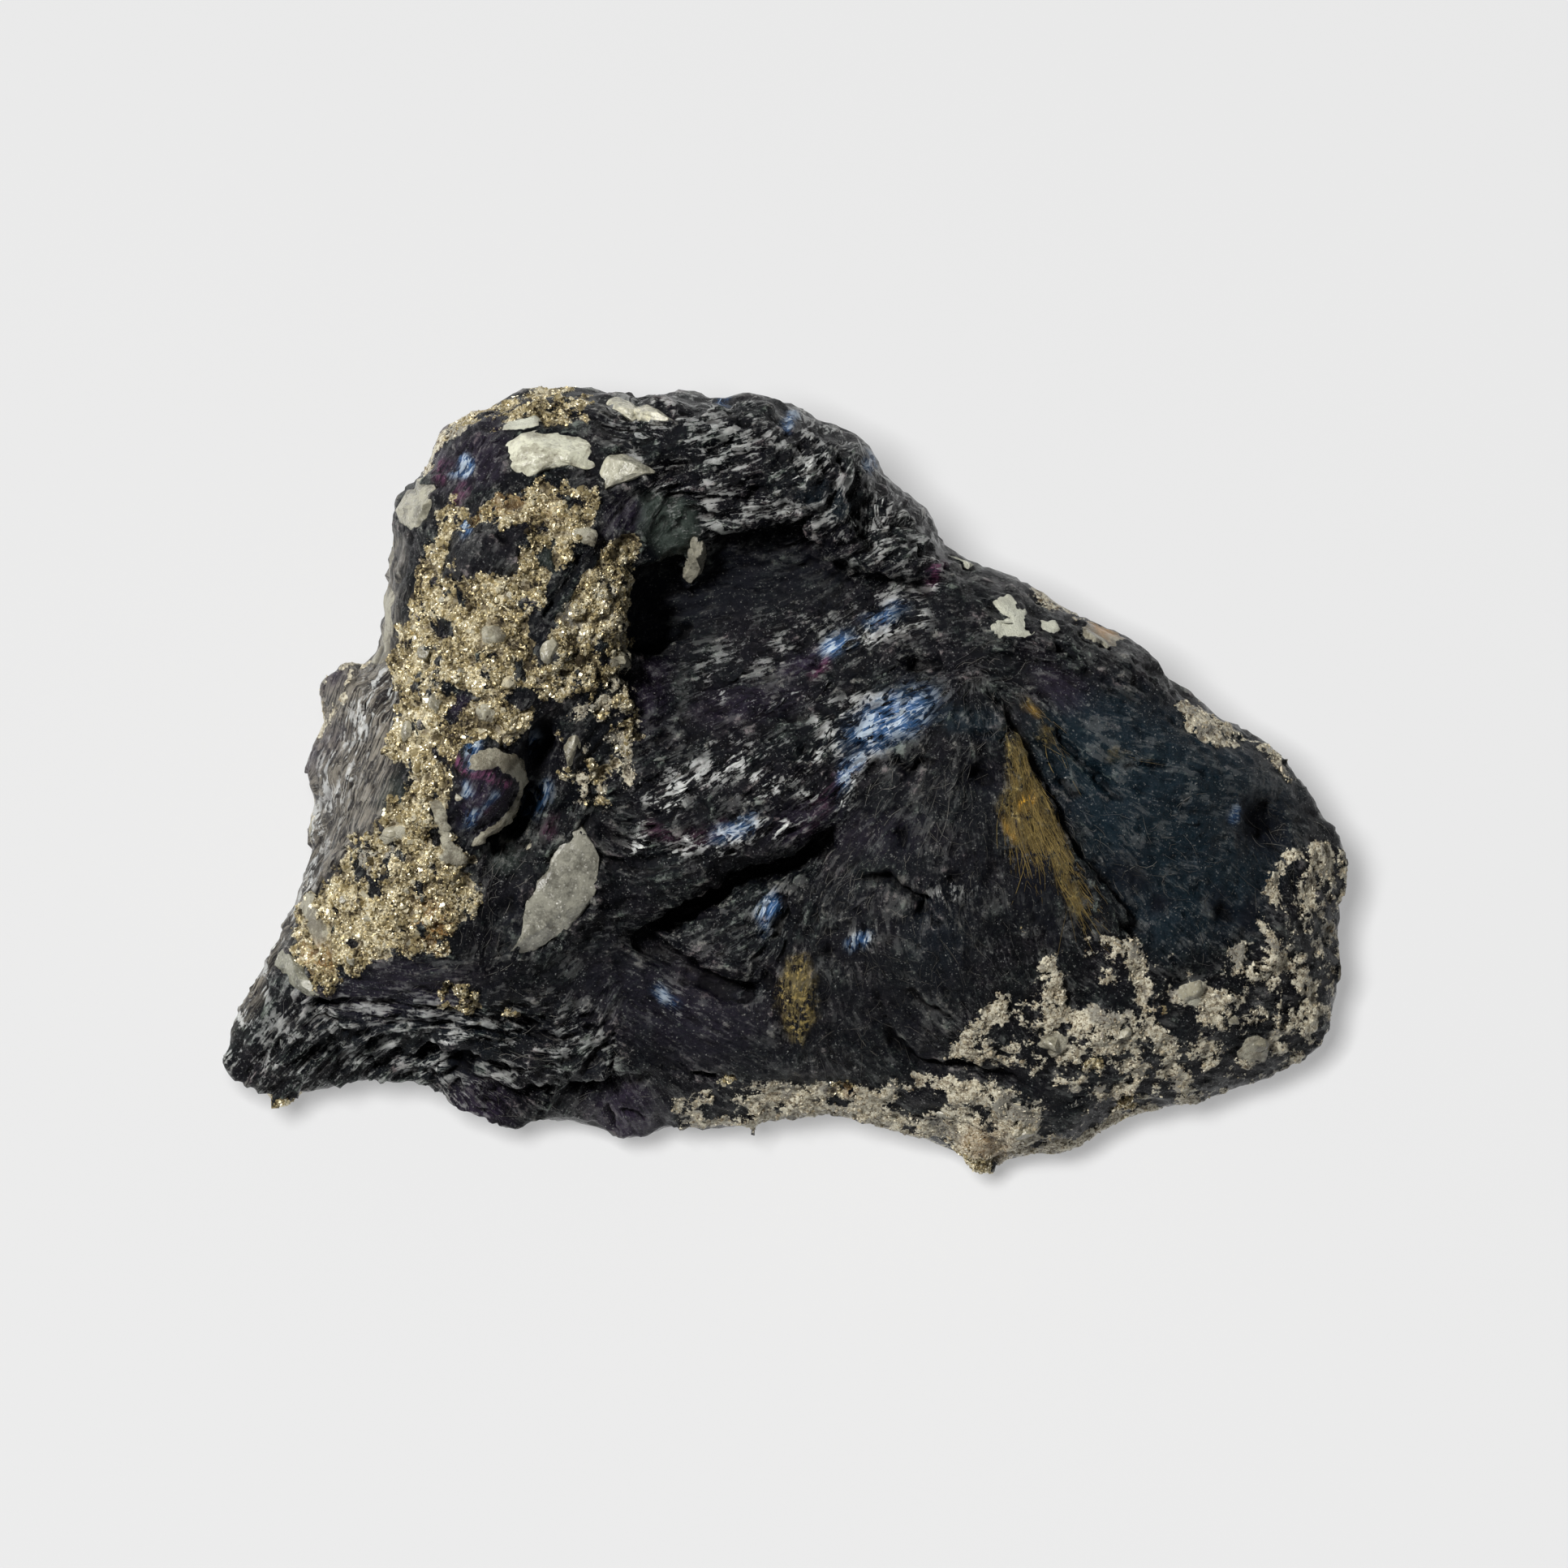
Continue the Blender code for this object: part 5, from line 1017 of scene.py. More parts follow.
# Finishes
class Value:
    """A number that varies over a surface; sums with it add the nodes that work it out."""

    def __init__(self, finish, socket):
        self.finish = finish
        self.socket = socket

    def join(self, operation, first, second):
        return self.finish.node("ShaderNodeMath", {"operation": operation}, {0: first, 1: second})

    def __add__(self, other):
        return self.join("ADD", self, other)

    def __radd__(self, other):
        return self.join("ADD", other, self)

    def __sub__(self, other):
        return self.join("SUBTRACT", self, other)

    def __rsub__(self, other):
        return self.join("SUBTRACT", other, self)

    def __mul__(self, other):
        return self.join("MULTIPLY", self, other)

    def __rmul__(self, other):
        return self.join("MULTIPLY", other, self)

    def __pow__(self, other):
        return self.join("POWER", self, other)

    def ramp(self, low, high):
        """0 up to the low value, 1 from the high value, and smooth between."""
        settings = {"interpolation_type": "SMOOTHSTEP"}
        return self.finish.node("ShaderNodeMapRange", settings, {"Value": self, "From Min": low, "From Max": high})

    def most(self, other):
        return self.join("MAXIMUM", self, other)

    def chance(self):
        """A random number for each different colour."""
        return self.finish.node("ShaderNodeTexWhiteNoise", {}, {"Vector": self})


class Finish:
    """A material under construction."""

    def __init__(self, name):
        self.material = bpy.data.materials.new(name)
        self.material.use_nodes = True
        self.nodes = self.material.node_tree.nodes
        self.links = self.material.node_tree.links
        self.shader = self.nodes["Principled BSDF"]
        self.place = self.node("ShaderNodeTexCoord", {}, {}, "Object")

    def feed(self, socket, value):
        if isinstance(value, Value):
            self.links.new(value.socket, socket)
        else:
            socket.default_value = value

    def node(self, kind, settings, inputs, output=0):
        made = self.nodes.new(kind)
        for name, value in settings.items():
            setattr(made, name, value)
        for name, value in inputs.items():
            self.feed(made.inputs[name], value)
        return Value(self, made.outputs[output])

    def set(self, shader=None, **inputs):
        for name, value in inputs.items():
            self.feed((shader or self.shader).inputs[name.replace("_", " ").title().replace("Ior", "IOR")], value)

    def laid_over(self, share):
        """A second shader laid over the first by a share."""
        upper = self.nodes.new("ShaderNodeBsdfPrincipled")
        blend = self.nodes.new("ShaderNodeMixShader")
        self.feed(blend.inputs[0], share)
        self.links.new(self.shader.outputs[0], blend.inputs[1])
        self.links.new(upper.outputs[0], blend.inputs[2])
        self.links.new(blend.outputs[0], self.nodes["Material Output"].inputs["Surface"])
        return upper

    def cover(self, name):
        return self.node("ShaderNodeAttribute", {"attribute_name": name}, {}, "Fac")

    def scaled(self, place, size):
        """A place measured in units of a size in millimetres."""
        return self.node("ShaderNodeVectorMath", {"operation": "SCALE"}, {0: place, "Scale": 1.0 / (size * MM)})

    def noise(self, size, detail=3.0, roughness=0.6, place=None):
        inputs = {"Vector": self.scaled(place or self.place, size), "Scale": 1.0, "Detail": detail, "Roughness": roughness}
        return self.node("ShaderNodeTexNoise", {}, inputs)

    def cells(self, size, output="Distance", place=None, feature="F1"):
        inputs = {"Vector": self.scaled(place or self.place, size), "Scale": 1.0}
        return self.node("ShaderNodeTexVoronoi", {"feature": feature}, inputs, output)

    def streaks(self, length, width, detail=3.0):
        inputs = {"Vector": self.streak_place(length, width), "Scale": 1.0, "Detail": detail, "Roughness": 0.6}
        return self.node("ShaderNodeTexNoise", {}, inputs)

    def tinted(self, share, first, tint):
        settings = {"data_type": "RGBA", "blend_type": "MULTIPLY"}
        return self.node("ShaderNodeMix", settings, {0: share, 6: first, 7: tint}, 2)

    def streak_place(self, length, width):
        """A place that is drawn out along the foliation."""
        x, y, z = (self.node("ShaderNodeSeparateXYZ", {}, {0: self.place}, axis) for axis in range(3))
        along = self.cover("along") * (1.0 / length)
        across = self.cover("across") * (1.0 / width)
        return self.node("ShaderNodeCombineXYZ", {}, {0: along, 1: across, 2: z * (1.0 / (MM * length))})

    def mix(self, share, first, second):
        return self.node("ShaderNodeMix", {"data_type": "RGBA"}, {0: share, 6: first, 7: second}, 2)

    def mix_values(self, share, first, second):
        return self.node("ShaderNodeMix", {"data_type": "FLOAT"}, {0: share, 2: first, 3: second}, 0)

    def tilted(self, colour, strength, normal):
        """A normal leaned at random from one flake to the next."""
        middle = self.node("ShaderNodeVectorMath", {"operation": "SUBTRACT"}, {0: colour, 1: (0.5, 0.5, 0.5)})
        lean = self.node("ShaderNodeVectorMath", {"operation": "SCALE"}, {0: middle, "Scale": strength})
        leaning = self.node("ShaderNodeVectorMath", {"operation": "ADD"}, {0: normal, 1: lean})
        return self.node("ShaderNodeVectorMath", {"operation": "NORMALIZE"}, {0: leaning})

    def bump(self, height, depth, normal=None):
        """A bump whose height of 1 stands for a depth in millimetres."""
        inputs = {"Height": height, "Distance": depth * MM, "Strength": 1.0}
        if normal is not None:
            inputs["Normal"] = normal
        return self.node("ShaderNodeBump", {}, inputs)


def colour(red, green, blue):
    return (red, green, blue, 1.0)


COVELLITE_IOR = 1.30


def skin_finish():
    """Covellite, pyrite, cream quartz and glassy quartz, told apart by their covers."""
    finish = Finish("covellite with pyrite and quartz")
    fine = finish.noise(0.42, 6.0, 0.72)
    speck = finish.noise(0.12, 2.0, 0.6)
    blotch = finish.noise(2.4, 4.0, 0.6)
    hue = finish.noise(3.7, 4.0, 0.6)
    hair = finish.streaks(2.6, 0.17)
    band = finish.streaks(4.2, 0.70)
    grit = finish.streaks(1.0, 0.42, 5.0)
    silver = finish.streaks(1.9, 0.40, 5.0)
    leaf = finish.node("ShaderNodeTexVoronoi", {}, {"Vector": finish.streak_place(1.2, 0.40), "Scale": 1.0}, "Color")
    dots = finish.cells(0.10, "Color")
    leaf_chance = leaf.chance()
    flake = dots.chance().ramp(0.92, 1.0) * fine.ramp(0.44, 0.60)
    silky = finish.cover("silky")
    gleam, dark_and_painted_shadow, relief = (finish.cover(name) for name in ("gleam", "dark_and_painted_shadow", "relief"))
    # Crests of the relief get painted highlight and its hollows painted shade
    painted_crest_light = relief.ramp(0.0, 1.0)
    hollow = (0.0 - relief).ramp(0.0, 1.0)

    edge = (fine - 0.5) * 1.3
    quartz = (finish.cover("quartz_cover") + edge * 0.4).ramp(0.42, 0.58)
    pyrite = (finish.cover("pyrite_field") + edge).ramp(0.45, 0.51)
    cream = (finish.cover("cream_field") + edge).ramp(0.50, 0.54)
    pale = pyrite.most(cream).most(quartz)

    # Pale streaks along the foliation; crests are painted lighter as painted highlight
    silk = grit * 0.45 + fine * 0.85 + band * 0.35 + painted_crest_light * 0.16 + (hair - 0.5) * silky + (blotch - 0.5) * 0.5
    stone = finish.mix(silk.ramp(0.78, 0.98), colour(0.0030, 0.0035, 0.0060), colour(0.019, 0.020, 0.021))
    stone = finish.mix(silk.ramp(0.97, 1.09), stone, colour(0.17, 0.165, 0.15))
    stone = finish.tinted(hue.ramp(0.50, 0.57), stone, colour(0.84, 1.02, 0.97))
    stone = finish.tinted(hue.ramp(0.48, 0.41), stone, colour(1.03, 0.88, 0.99))
    stone = finish.mix(finish.cover("teal") * (0.30 + 0.6 * hair), stone, colour(0.007, 0.024, 0.038))
    violet = finish.cover("violet") * (hair + blotch * 0.6).ramp(0.5, 0.9) * 0.8
    # The flank's brown-grey colour, with pale streaks that are partly painted highlight
    flank_colour_and_painted_light = finish.mix((hair * 0.7 + band * 0.3 + grit * 0.2).ramp(0.50, 0.70), colour(0.030, 0.026, 0.026), colour(0.34, 0.31, 0.26))
    stone = finish.mix(finish.cover("flank") * 0.86, stone, flank_colour_and_painted_light)
    stone = finish.mix(violet, stone, colour(0.040, 0.027, 0.058))
    stone = finish.mix(finish.cover("pale_green") * 0.7, stone, colour(0.070, 0.092, 0.078))
    # Painted highlight: near-white streaks painted on the gleam areas, faintly everywhere
    lit = silver * 0.72 + hair * 0.32 + leaf_chance * 0.08 + painted_crest_light * 0.05 + (blotch - 0.5) * 0.75 + (fine - 0.5) * 0.25
    lit = lit.ramp(0.59, 0.70)
    painted_highlight = (gleam * 0.94 + 0.06) * lit
    stone = finish.mix(painted_highlight, stone, colour(0.92, 0.94, 0.92))
    # Painted shadow and black patches: near black, with fewer sparkles
    stone = finish.mix(dark_and_painted_shadow * 0.88, stone, colour(0.004, 0.005, 0.011))
    stone = finish.mix(finish.cover("magenta") * (hair * 0.6 + grit * 0.6).ramp(0.50, 0.70), stone, colour(0.22, 0.07, 0.15))
    # Blue covellite, and near-white painted glints over its streaks
    sheen = silver * 0.6 + hair * 0.5 + leaf_chance * 0.22
    sky = finish.cover("sky") * sheen.ramp(0.50, 0.66)
    stone = finish.mix(sky, stone, colour(0.075, 0.20, 0.46))
    stone = finish.mix(finish.cover("sky") * sheen.ramp(0.66, 0.74), stone, colour(0.80, 0.92, 1.0))
    # Bright grey flakes: partly tiny pale grains, partly painted glint, fewer in the painted shadow
    stone = finish.mix(flake * (1.0 - dark_and_painted_shadow * 0.5) * 0.6, stone, colour(0.55, 0.56, 0.54))
    fibres = (hair * 0.5 + grit * 0.5 + (blotch - 0.5) * 0.5).ramp(0.42, 0.56)
    stone = finish.mix(finish.cover("yellow") * fibres * 0.85, stone, colour(0.20, 0.155, 0.060))
    stone = finish.mix(finish.cover("yellow") * (fine * 0.9 + grit * 0.2).ramp(0.56, 0.66), stone, colour(0.50, 0.38, 0.13))
    stone = finish.mix(finish.cover("yellow") * finish.cover("rust"), stone, colour(0.78, 0.42, 0.04))

    grain = finish.cells(0.24, "Color").chance()
    tone = grain * 0.30 + blotch * 0.80 + fine * 0.30
    ore = finish.mix(tone.ramp(0.48, 0.62), colour(0.035, 0.025, 0.016), colour(0.27, 0.22, 0.12))
    ore = finish.mix(tone.ramp(0.62, 0.76), ore, colour(0.60, 0.51, 0.30))
    ore = finish.mix(tone.ramp(0.74, 0.84), ore, colour(0.95, 0.87, 0.64))
    ore = finish.mix(finish.cover("rust") * 0.7, ore, colour(0.38, 0.19, 0.045))

    crumb = fine * 0.8 + speck * 0.30 + (grain - 0.5) * 0.25
    chalk = finish.mix(crumb.ramp(0.48, 0.62), colour(0.40, 0.34, 0.23), colour(0.82, 0.77, 0.61))
    chalk = finish.mix(hue.ramp(0.52, 0.60) * 0.8, chalk, colour(0.26, 0.25, 0.22))
    chalk = finish.mix(crumb.ramp(0.47, 0.37), chalk, colour(0.07, 0.05, 0.035))
    chalk = finish.mix(finish.cover("rust") * 0.6, chalk, colour(0.42, 0.24, 0.08))

    glass = finish.mix((blotch + (fine - 0.5) * 0.5).ramp(0.40, 0.62), colour(0.20, 0.18, 0.13), colour(0.50, 0.475, 0.37))
    glass = finish.mix(finish.cover("white_quartz"), glass, colour(0.76, 0.77, 0.64))
    glass = finish.mix(finish.cover("rust"), glass, colour(0.62, 0.33, 0.10))

    surface = finish.mix(pyrite, stone, ore)
    surface = finish.mix(cream, surface, chalk)
    surface = finish.mix(quartz, surface, glass)
    # Painted shade: the hollows of the relief are darkened
    surface = finish.tinted(hollow * 0.8, surface, colour(0.22, 0.20, 0.20))

    shine = painted_highlight.most(sky).most(flake)
    rough = finish.mix_values(dark_and_painted_shadow * (1.0 - flake), 0.22, 0.75)

    smooth_normal = finish.node("ShaderNodeNewGeometry", {}, {}, "Normal")
    normal = finish.tilted(leaf, (0.20 + 0.44 * gleam) * (1.0 - pale), smooth_normal)
    normal = finish.tilted(dots, 0.08 + 0.66 * flake * (1.0 - cream.most(quartz)), normal)
    streaky = grit * 0.45 + fine * 0.70 + speck * 0.05 + silky * (hair * 0.45 + band * 0.6)
    granular = fine * 0.8 + speck * 0.4
    uneven = finish.bump(finish.mix_values(pale, streaky, granular), 0.26, normal)
    finish.set(
        base_color=surface, metallic=0.30 + 0.35 * shine, roughness=rough, ior=COVELLITE_IOR, normal=uneven,
    )
    finish.set(
        finish.laid_over(pale), base_color=surface, metallic=pyrite * (1.0 - cream.most(quartz)) * 0.50,
        roughness=finish.mix_values(quartz, 0.34, 0.20), ior=1.544, normal=uneven,
    )
    return finish.material


def quartz_finish(name, see_through, tone):
    """Milky quartz that lets some light through, with small broken faces and brown specks."""
    finish = Finish(name)
    cloud = finish.noise(1.5, 4.0, 0.65)
    fine = finish.noise(0.35, 4.0, 0.7)
    breaks = finish.cells(0.85, "Color")
    sparks = finish.cells(0.14, "Color")
    painted_spark = sparks.chance().ramp(0.90, 1.0)
    dull = tuple(part * 0.66 for part in tone)
    pale = tuple(min(1.0, part * 1.25) for part in tone)
    surface = finish.mix((cloud + (fine - 0.5) * 0.5).ramp(0.38, 0.60), colour(*dull), colour(*pale))
    # Painted glint: a few cells painted near white as sparkles
    surface = finish.mix(painted_spark * 0.7, surface, colour(0.90, 0.88, 0.78))
    surface = finish.mix((fine + (cloud - 0.5) * 0.8).ramp(0.38, 0.26) * 0.6, surface, colour(0.12, 0.095, 0.065))
    normal = finish.tilted(breaks, 0.22, finish.node("ShaderNodeNewGeometry", {}, {}, "Normal"))
    normal = finish.tilted(sparks, 0.12 + 0.4 * painted_spark, normal)
    finish.set(
        base_color=surface, roughness=0.10 + 0.26 * fine, ior=1.544, transmission_weight=see_through,
        normal=finish.bump(cloud * 0.8 + fine * 0.6, 0.11, normal),
    )
    return finish.material


# The quartz crystals: name, how see-through, tone, and outline on the face
CRYSTALS = {
    "quartz_lens_crystal": (
        "lens_crystal", 0.35, (0.42, 0.41, 0.34),
        ((-16.9, -2.8), (-16.2, -3.4), (-15.8, -4.4), (-15.0, -6.0), (-14.8, -7.3), (-15.4, -9.0), (-16.2, -10.2),
         (-17.0, -11.3), (-18.0, -12.3), (-19.3, -13.0), (-20.6, -13.9), (-22.5, -14.3), (-22.0, -13.2), (-21.6, -11.6),
         (-21.2, -9.6), (-21.0, -8.1), (-20.0, -7.6), (-19.3, -7.0), (-19.0, -5.8), (-18.2, -4.4), (-17.5, -3.3)),
    ),
    "quartz_prism_crystal": (
        "prism_crystal", 0.50, (0.66, 0.63, 0.50),
        ((-7.9, 20.7), (-7.0, 21.0), (-6.5, 20.1), (-6.3, 18.7), (-6.7, 17.3), (-7.7, 16.3), (-8.3, 16.8), (-8.3, 17.6),
         (-7.9, 18.8), (-8.2, 20.0)),
    ),
    "quartz_top_crystal": (
        "top_crystal", 0.25, (0.86, 0.83, 0.64),
        ((-23.1, 27.0), (-22.7, 28.0), (-21.5, 28.7), (-20.0, 29.0), (-18.0, 29.0), (-16.4, 28.5), (-15.4, 27.4),
         (-15.9, 26.6), (-15.2, 26.0), (-16.0, 25.6), (-17.5, 25.9), (-19.5, 25.6), (-20.5, 25.0), (-21.7, 24.9),
         (-22.6, 26.0)),
    ),
    "quartz_wedge_crystal": (
        "wedge_crystal", 0.35, (0.68, 0.66, 0.52),
        ((-15.5, 23.5), (-15.4, 25.3), (-14.6, 26.6), (-13.8, 27.4), (-12.5, 26.8), (-11.2, 26.2), (-9.9, 25.4),
         (-11.5, 24.9), (-13.0, 24.3), (-14.5, 23.7)),
    ),
    "quartz_upper_rim_crystals": (
        "upper_rim_crystals", 0.30, (0.78, 0.75, 0.58),
        ((-14.8, 31.4), (-13.7, 31.8), (-12.7, 31.4), (-11.9, 30.9), (-11.2, 31.1), (-10.2, 30.6), (-9.2, 29.9),
         (-8.3, 29.2), (-9.5, 29.0), (-10.6, 29.3), (-11.6, 29.7), (-12.4, 29.6), (-13.2, 29.6), (-14.4, 30.3)),
    ),
    "quartz_left_rim_crystal": (
        "left_rim_crystal", 0.35, (0.52, 0.50, 0.39),
        ((-31.9, 22.4), (-31.4, 23.3), (-30.9, 24.1), (-30.3, 24.2), (-30.1, 25.0), (-29.3, 25.3), (-28.6, 25.0),
         (-28.2, 24.4), (-28.3, 23.4), (-28.8, 22.3), (-28.9, 21.2), (-29.4, 20.6), (-30.6, 20.7), (-31.5, 21.4)),
    ),
    "quartz_toe_crystal": (
        "toe_crystal", 0.40, (0.38, 0.375, 0.29),
        ((-41.9, -14.9), (-41.5, -13.9), (-40.9, -13.2), (-40.2, -13.2), (-39.8, -14.0), (-39.3, -14.6), (-38.9, -15.5),
         (-38.5, -16.5), (-37.7, -17.2), (-37.2, -17.6), (-39.0, -17.4), (-40.0, -16.8), (-40.8, -16.1), (-41.5, -15.5)),
    ),
}
OUTLINE_SECTORS = 60
CRYSTAL_BEVEL = 0.14
CRYSTAL_CUTS = 8
CRYSTAL_GROWTH = 0.30
CRYSTAL_CHIPS = 22


def reach_of(outline, angles):
    """How far a closed outline lies from the middle of it, along each angle."""
    rays = np.stack([np.cos(angles), np.sin(angles)], axis=1)
    reach = np.full(len(angles), 1e-3)
    for start, end in zip(outline, np.roll(outline, -1, axis=0)):
        run = end - start
        cross = rays[:, 0] * run[1] - rays[:, 1] * run[0]
        cross = np.where(np.abs(cross) < 1e-9, 1e-9, cross)
        far = (start[0] * run[1] - start[1] * run[0]) / cross
        share = (start[0] * rays[:, 1] - start[1] * rays[:, 0]) / cross
        reach = np.where((share >= 0.0) & (share <= 1.0), np.maximum(reach, far), reach)
    return reach


def drawn_to(places, outline):
    """Places moved in or out on the face until their outline is the one given."""
    middle = np.mean(outline, axis=0)
    offset = places[:, :2] - middle
    angles = np.arctan2(offset[:, 1], offset[:, 0])
    sectors = ((angles / math.tau + 0.5) * OUTLINE_SECTORS).astype(int) % OUTLINE_SECTORS
    widest = np.zeros(OUTLINE_SECTORS)
    np.maximum.at(widest, sectors, np.hypot(offset[:, 0], offset[:, 1]))
    turns = math.tau * ((np.arange(OUTLINE_SECTORS) + 0.5) / OUTLINE_SECTORS - 0.5)
    own = np.interp(angles, turns, widest, period=math.tau)
    wanted = reach_of(np.asarray(outline) - middle, angles)
    moved = middle + offset * (wanted / np.maximum(own, 1e-3))[:, None]
    return np.column_stack([moved, places[:, 2]])


def chipped(points, rng, count, depths):
    """Flat chips cut off the corners and edges of a crystal, to depths in millimetres."""
    middle = points.mean(axis=0)
    for _ in range(count):
        facing = rng.normal(size=3) + 0.9 * FACE_AXES[2]
        facing /= np.linalg.norm(facing)
        reach = (points - middle) @ facing
        limit = reach.max() - MM * rng.uniform(*depths)
        points = points - np.clip(reach - limit, 0.0, None)[:, None] * facing
    return points


def make_crystal(node, name, see_through, tone, outline, seed):
    """A crystal grown out to meet the skin, its edges worn and its faces finely uneven."""
    piece = copy_of(node, name)
    bpy.ops.object.mode_set(mode="EDIT")
    bpy.ops.mesh.select_all(action="SELECT")
    bpy.ops.mesh.dissolve_limited(angle_limit=math.radians(1.0))
    bpy.ops.mesh.bevel(offset=CRYSTAL_BEVEL * MM, segments=2, affect="EDGES")
    bpy.ops.object.mode_set(mode="OBJECT")
    bpy.ops.object.mode_set(mode="EDIT")
    bpy.ops.mesh.select_all(action="SELECT")
    bpy.ops.mesh.quads_convert_to_tris(quad_method="BEAUTY", ngon_method="BEAUTY")
    bpy.ops.mesh.subdivide(number_cuts=CRYSTAL_CUTS)
    bpy.ops.mesh.quads_convert_to_tris(quad_method="BEAUTY", ngon_method="BEAUTY")
    bpy.ops.object.mode_set(mode="OBJECT")
    points = corner_array(piece.data)
    triangles = triangle_array(piece.data)
    bpy.data.objects.remove(piece)
    normals, _ = outward_normals(points, triangles)
    places = to_face(points)
    uneven = 0.12 * rough_noise(places / 2.2, 120, 3) + 0.03 * rough_noise(places / 0.6, 121, 2)
    points = from_face(drawn_to(to_face(points + MM * (CRYSTAL_GROWTH + uneven)[:, None] * normals), outline))
    points = chipped(points, np.random.default_rng(seed), CRYSTAL_CHIPS, (0.03, 0.40))
    piece = mesh_from(name, inside_box(points), triangles)
    activate(piece)
    bpy.ops.object.shade_smooth_by_angle(angle=math.radians(24.0))
    piece.data.materials.append(quartz_finish("quartz " + name.replace("_", " "), see_through, tone))
    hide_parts(node)
    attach(piece, "root")
    return piece


# Small pieces, each kind modelled once and copied over the skin in one joined mesh
class Ground:
    """The finished skin as ground to set small pieces on."""

    def __init__(self, points, triangles, skin):
        self.points = points
        self.triangles = triangles
        self.normals, self.areas = outward_normals(points, triangles)
        self.skin = skin
        self.tree = BVHTree.FromPolygons(points.tolist(), triangles.tolist())

    def surface_at(self, uv):
        """The points of the skin over places on the face, looked for from above."""
        down = Vector(-FACE_AXES[2])
        found = []
        for start in from_face(np.column_stack([uv, np.full(len(uv), SKY_HEIGHT)])):
            hit = self.tree.ray_cast(Vector(start), down)[0]
            found.append(np.full(3, np.nan) if hit is None else np.array(hit))
        return np.array(found)

    def scatter(self, weight, count, rng):
        """Places on the skin, more of them where the weight is greater."""
        share = self.areas * np.clip(weight[self.triangles].mean(axis=1), 0.0, None)
        picked = rng.choice(len(self.triangles), size=count, p=share / share.sum())
        parts = rng.dirichlet((1.0, 1.0, 1.0), size=count)
        places = np.einsum("ij,ijk->ik", parts, self.points[self.triangles[picked]])
        normals = np.einsum("ij,ijk->ik", parts, self.normals[self.triangles[picked]])
        return places, normals / np.linalg.norm(normals, axis=1, keepdims=True), picked


def chip_shape():
    """A small blunt chip."""
    deselect()
    bpy.ops.mesh.primitive_ico_sphere_add(subdivisions=1, radius=0.5)
    return take_shape()


def pebble_shape():
    """A rounded bit with enough corners to be chipped."""
    deselect()
    bpy.ops.mesh.primitive_ico_sphere_add(subdivisions=3, radius=0.5)
    return take_shape()


def cube_shape():
    """A pyrite cube, one side drawn in a little."""
    deselect()
    bpy.ops.mesh.primitive_cube_add(size=0.8)
    bpy.ops.object.mode_set(mode="EDIT")
    bpy.ops.mesh.quads_convert_to_tris()
    bpy.ops.object.mode_set(mode="OBJECT")
    return take_shape()


def plate_shape():
    """A thin leaf of covellite with seven sides."""
    deselect()
    bpy.ops.mesh.primitive_cylinder_add(vertices=7, radius=0.5, depth=1.0)
    bpy.ops.object.mode_set(mode="EDIT")
    bpy.ops.mesh.quads_convert_to_tris(ngon_method="BEAUTY")
    bpy.ops.object.mode_set(mode="OBJECT")
    return take_shape()


def crumb_shape():
    """The smallest crumb, with four faces."""
    deselect()
    bpy.ops.mesh.primitive_cone_add(vertices=3, radius1=0.55, depth=0.8)
    return take_shape()


def strand_shape():
    """A three sided strand, pointed at both ends."""
    deselect()
    bpy.ops.mesh.primitive_uv_sphere_add(segments=3, ring_count=STRAND_RINGS, radius=0.5)
    bpy.ops.object.mode_set(mode="EDIT")
    bpy.ops.transform.rotate(value=math.radians(90.0), orient_axis="Y", center_override=(0, 0, 0))
    bpy.ops.mesh.quads_convert_to_tris()
    bpy.ops.object.mode_set(mode="OBJECT")
    return take_shape()


def take_shape():
    made = bpy.context.active_object
    shape = corner_array(made.data), triangle_array(made.data)
    bpy.data.objects.remove(made)
    return shape


def leaned(normals, angle, rng):
    """Normals leaned at random by about an angle."""
    lean = normals + math.tan(math.radians(angle)) * rng.normal(size=normals.shape)
    return lean / np.linalg.norm(lean, axis=1, keepdims=True)


def set_out(name, shape, places, normals, runs, sizes, jitter, rng, smooth=False):
    """Copies of a shape at places, each with its own length, width and thickness, in one mesh."""
    corners, triangles = shape
    count = len(places)
    runs = runs - np.einsum("ij,ij->i", runs, normals)[:, None] * normals
    runs /= np.maximum(np.linalg.norm(runs, axis=1, keepdims=True), 1e-9)
    sides = np.cross(normals, runs)
    bodies = corners[None] * sizes[:, None, :] * (1.0 + jitter * rng.normal(size=(count, len(corners), 3)))
    turned = (
        bodies[..., 0, None] * runs[:, None] + bodies[..., 1, None] * sides[:, None] + bodies[..., 2, None] * normals[:, None]
    )
    points = (places[:, None] + MM * turned).reshape(-1, 3)
    numbers = (triangles[None] + len(corners) * np.arange(count)[:, None, None]).reshape(-1, 3)
    piece = mesh_from(name, inside_box(points), numbers, smooth)
    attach(piece, "root")
    return piece


PYRITE_CUBES = 13000
PYRITE_GRAINS = 6000
CREAM_GRAINS = 1800
PYRITE_CRUMBS = 40000
CREAM_CRUMBS = 12000
PLATES = 800
STRAND_RINGS = 6
SKY_HEIGHT = 60.0


def write_own_shade(piece, count, rng):
    """A number from 0 to 1 that is the same all over each grain."""
    each = len(piece.data.vertices) // count
    write_measure(piece.data, "own_shade", np.repeat(rng.uniform(size=count), each))


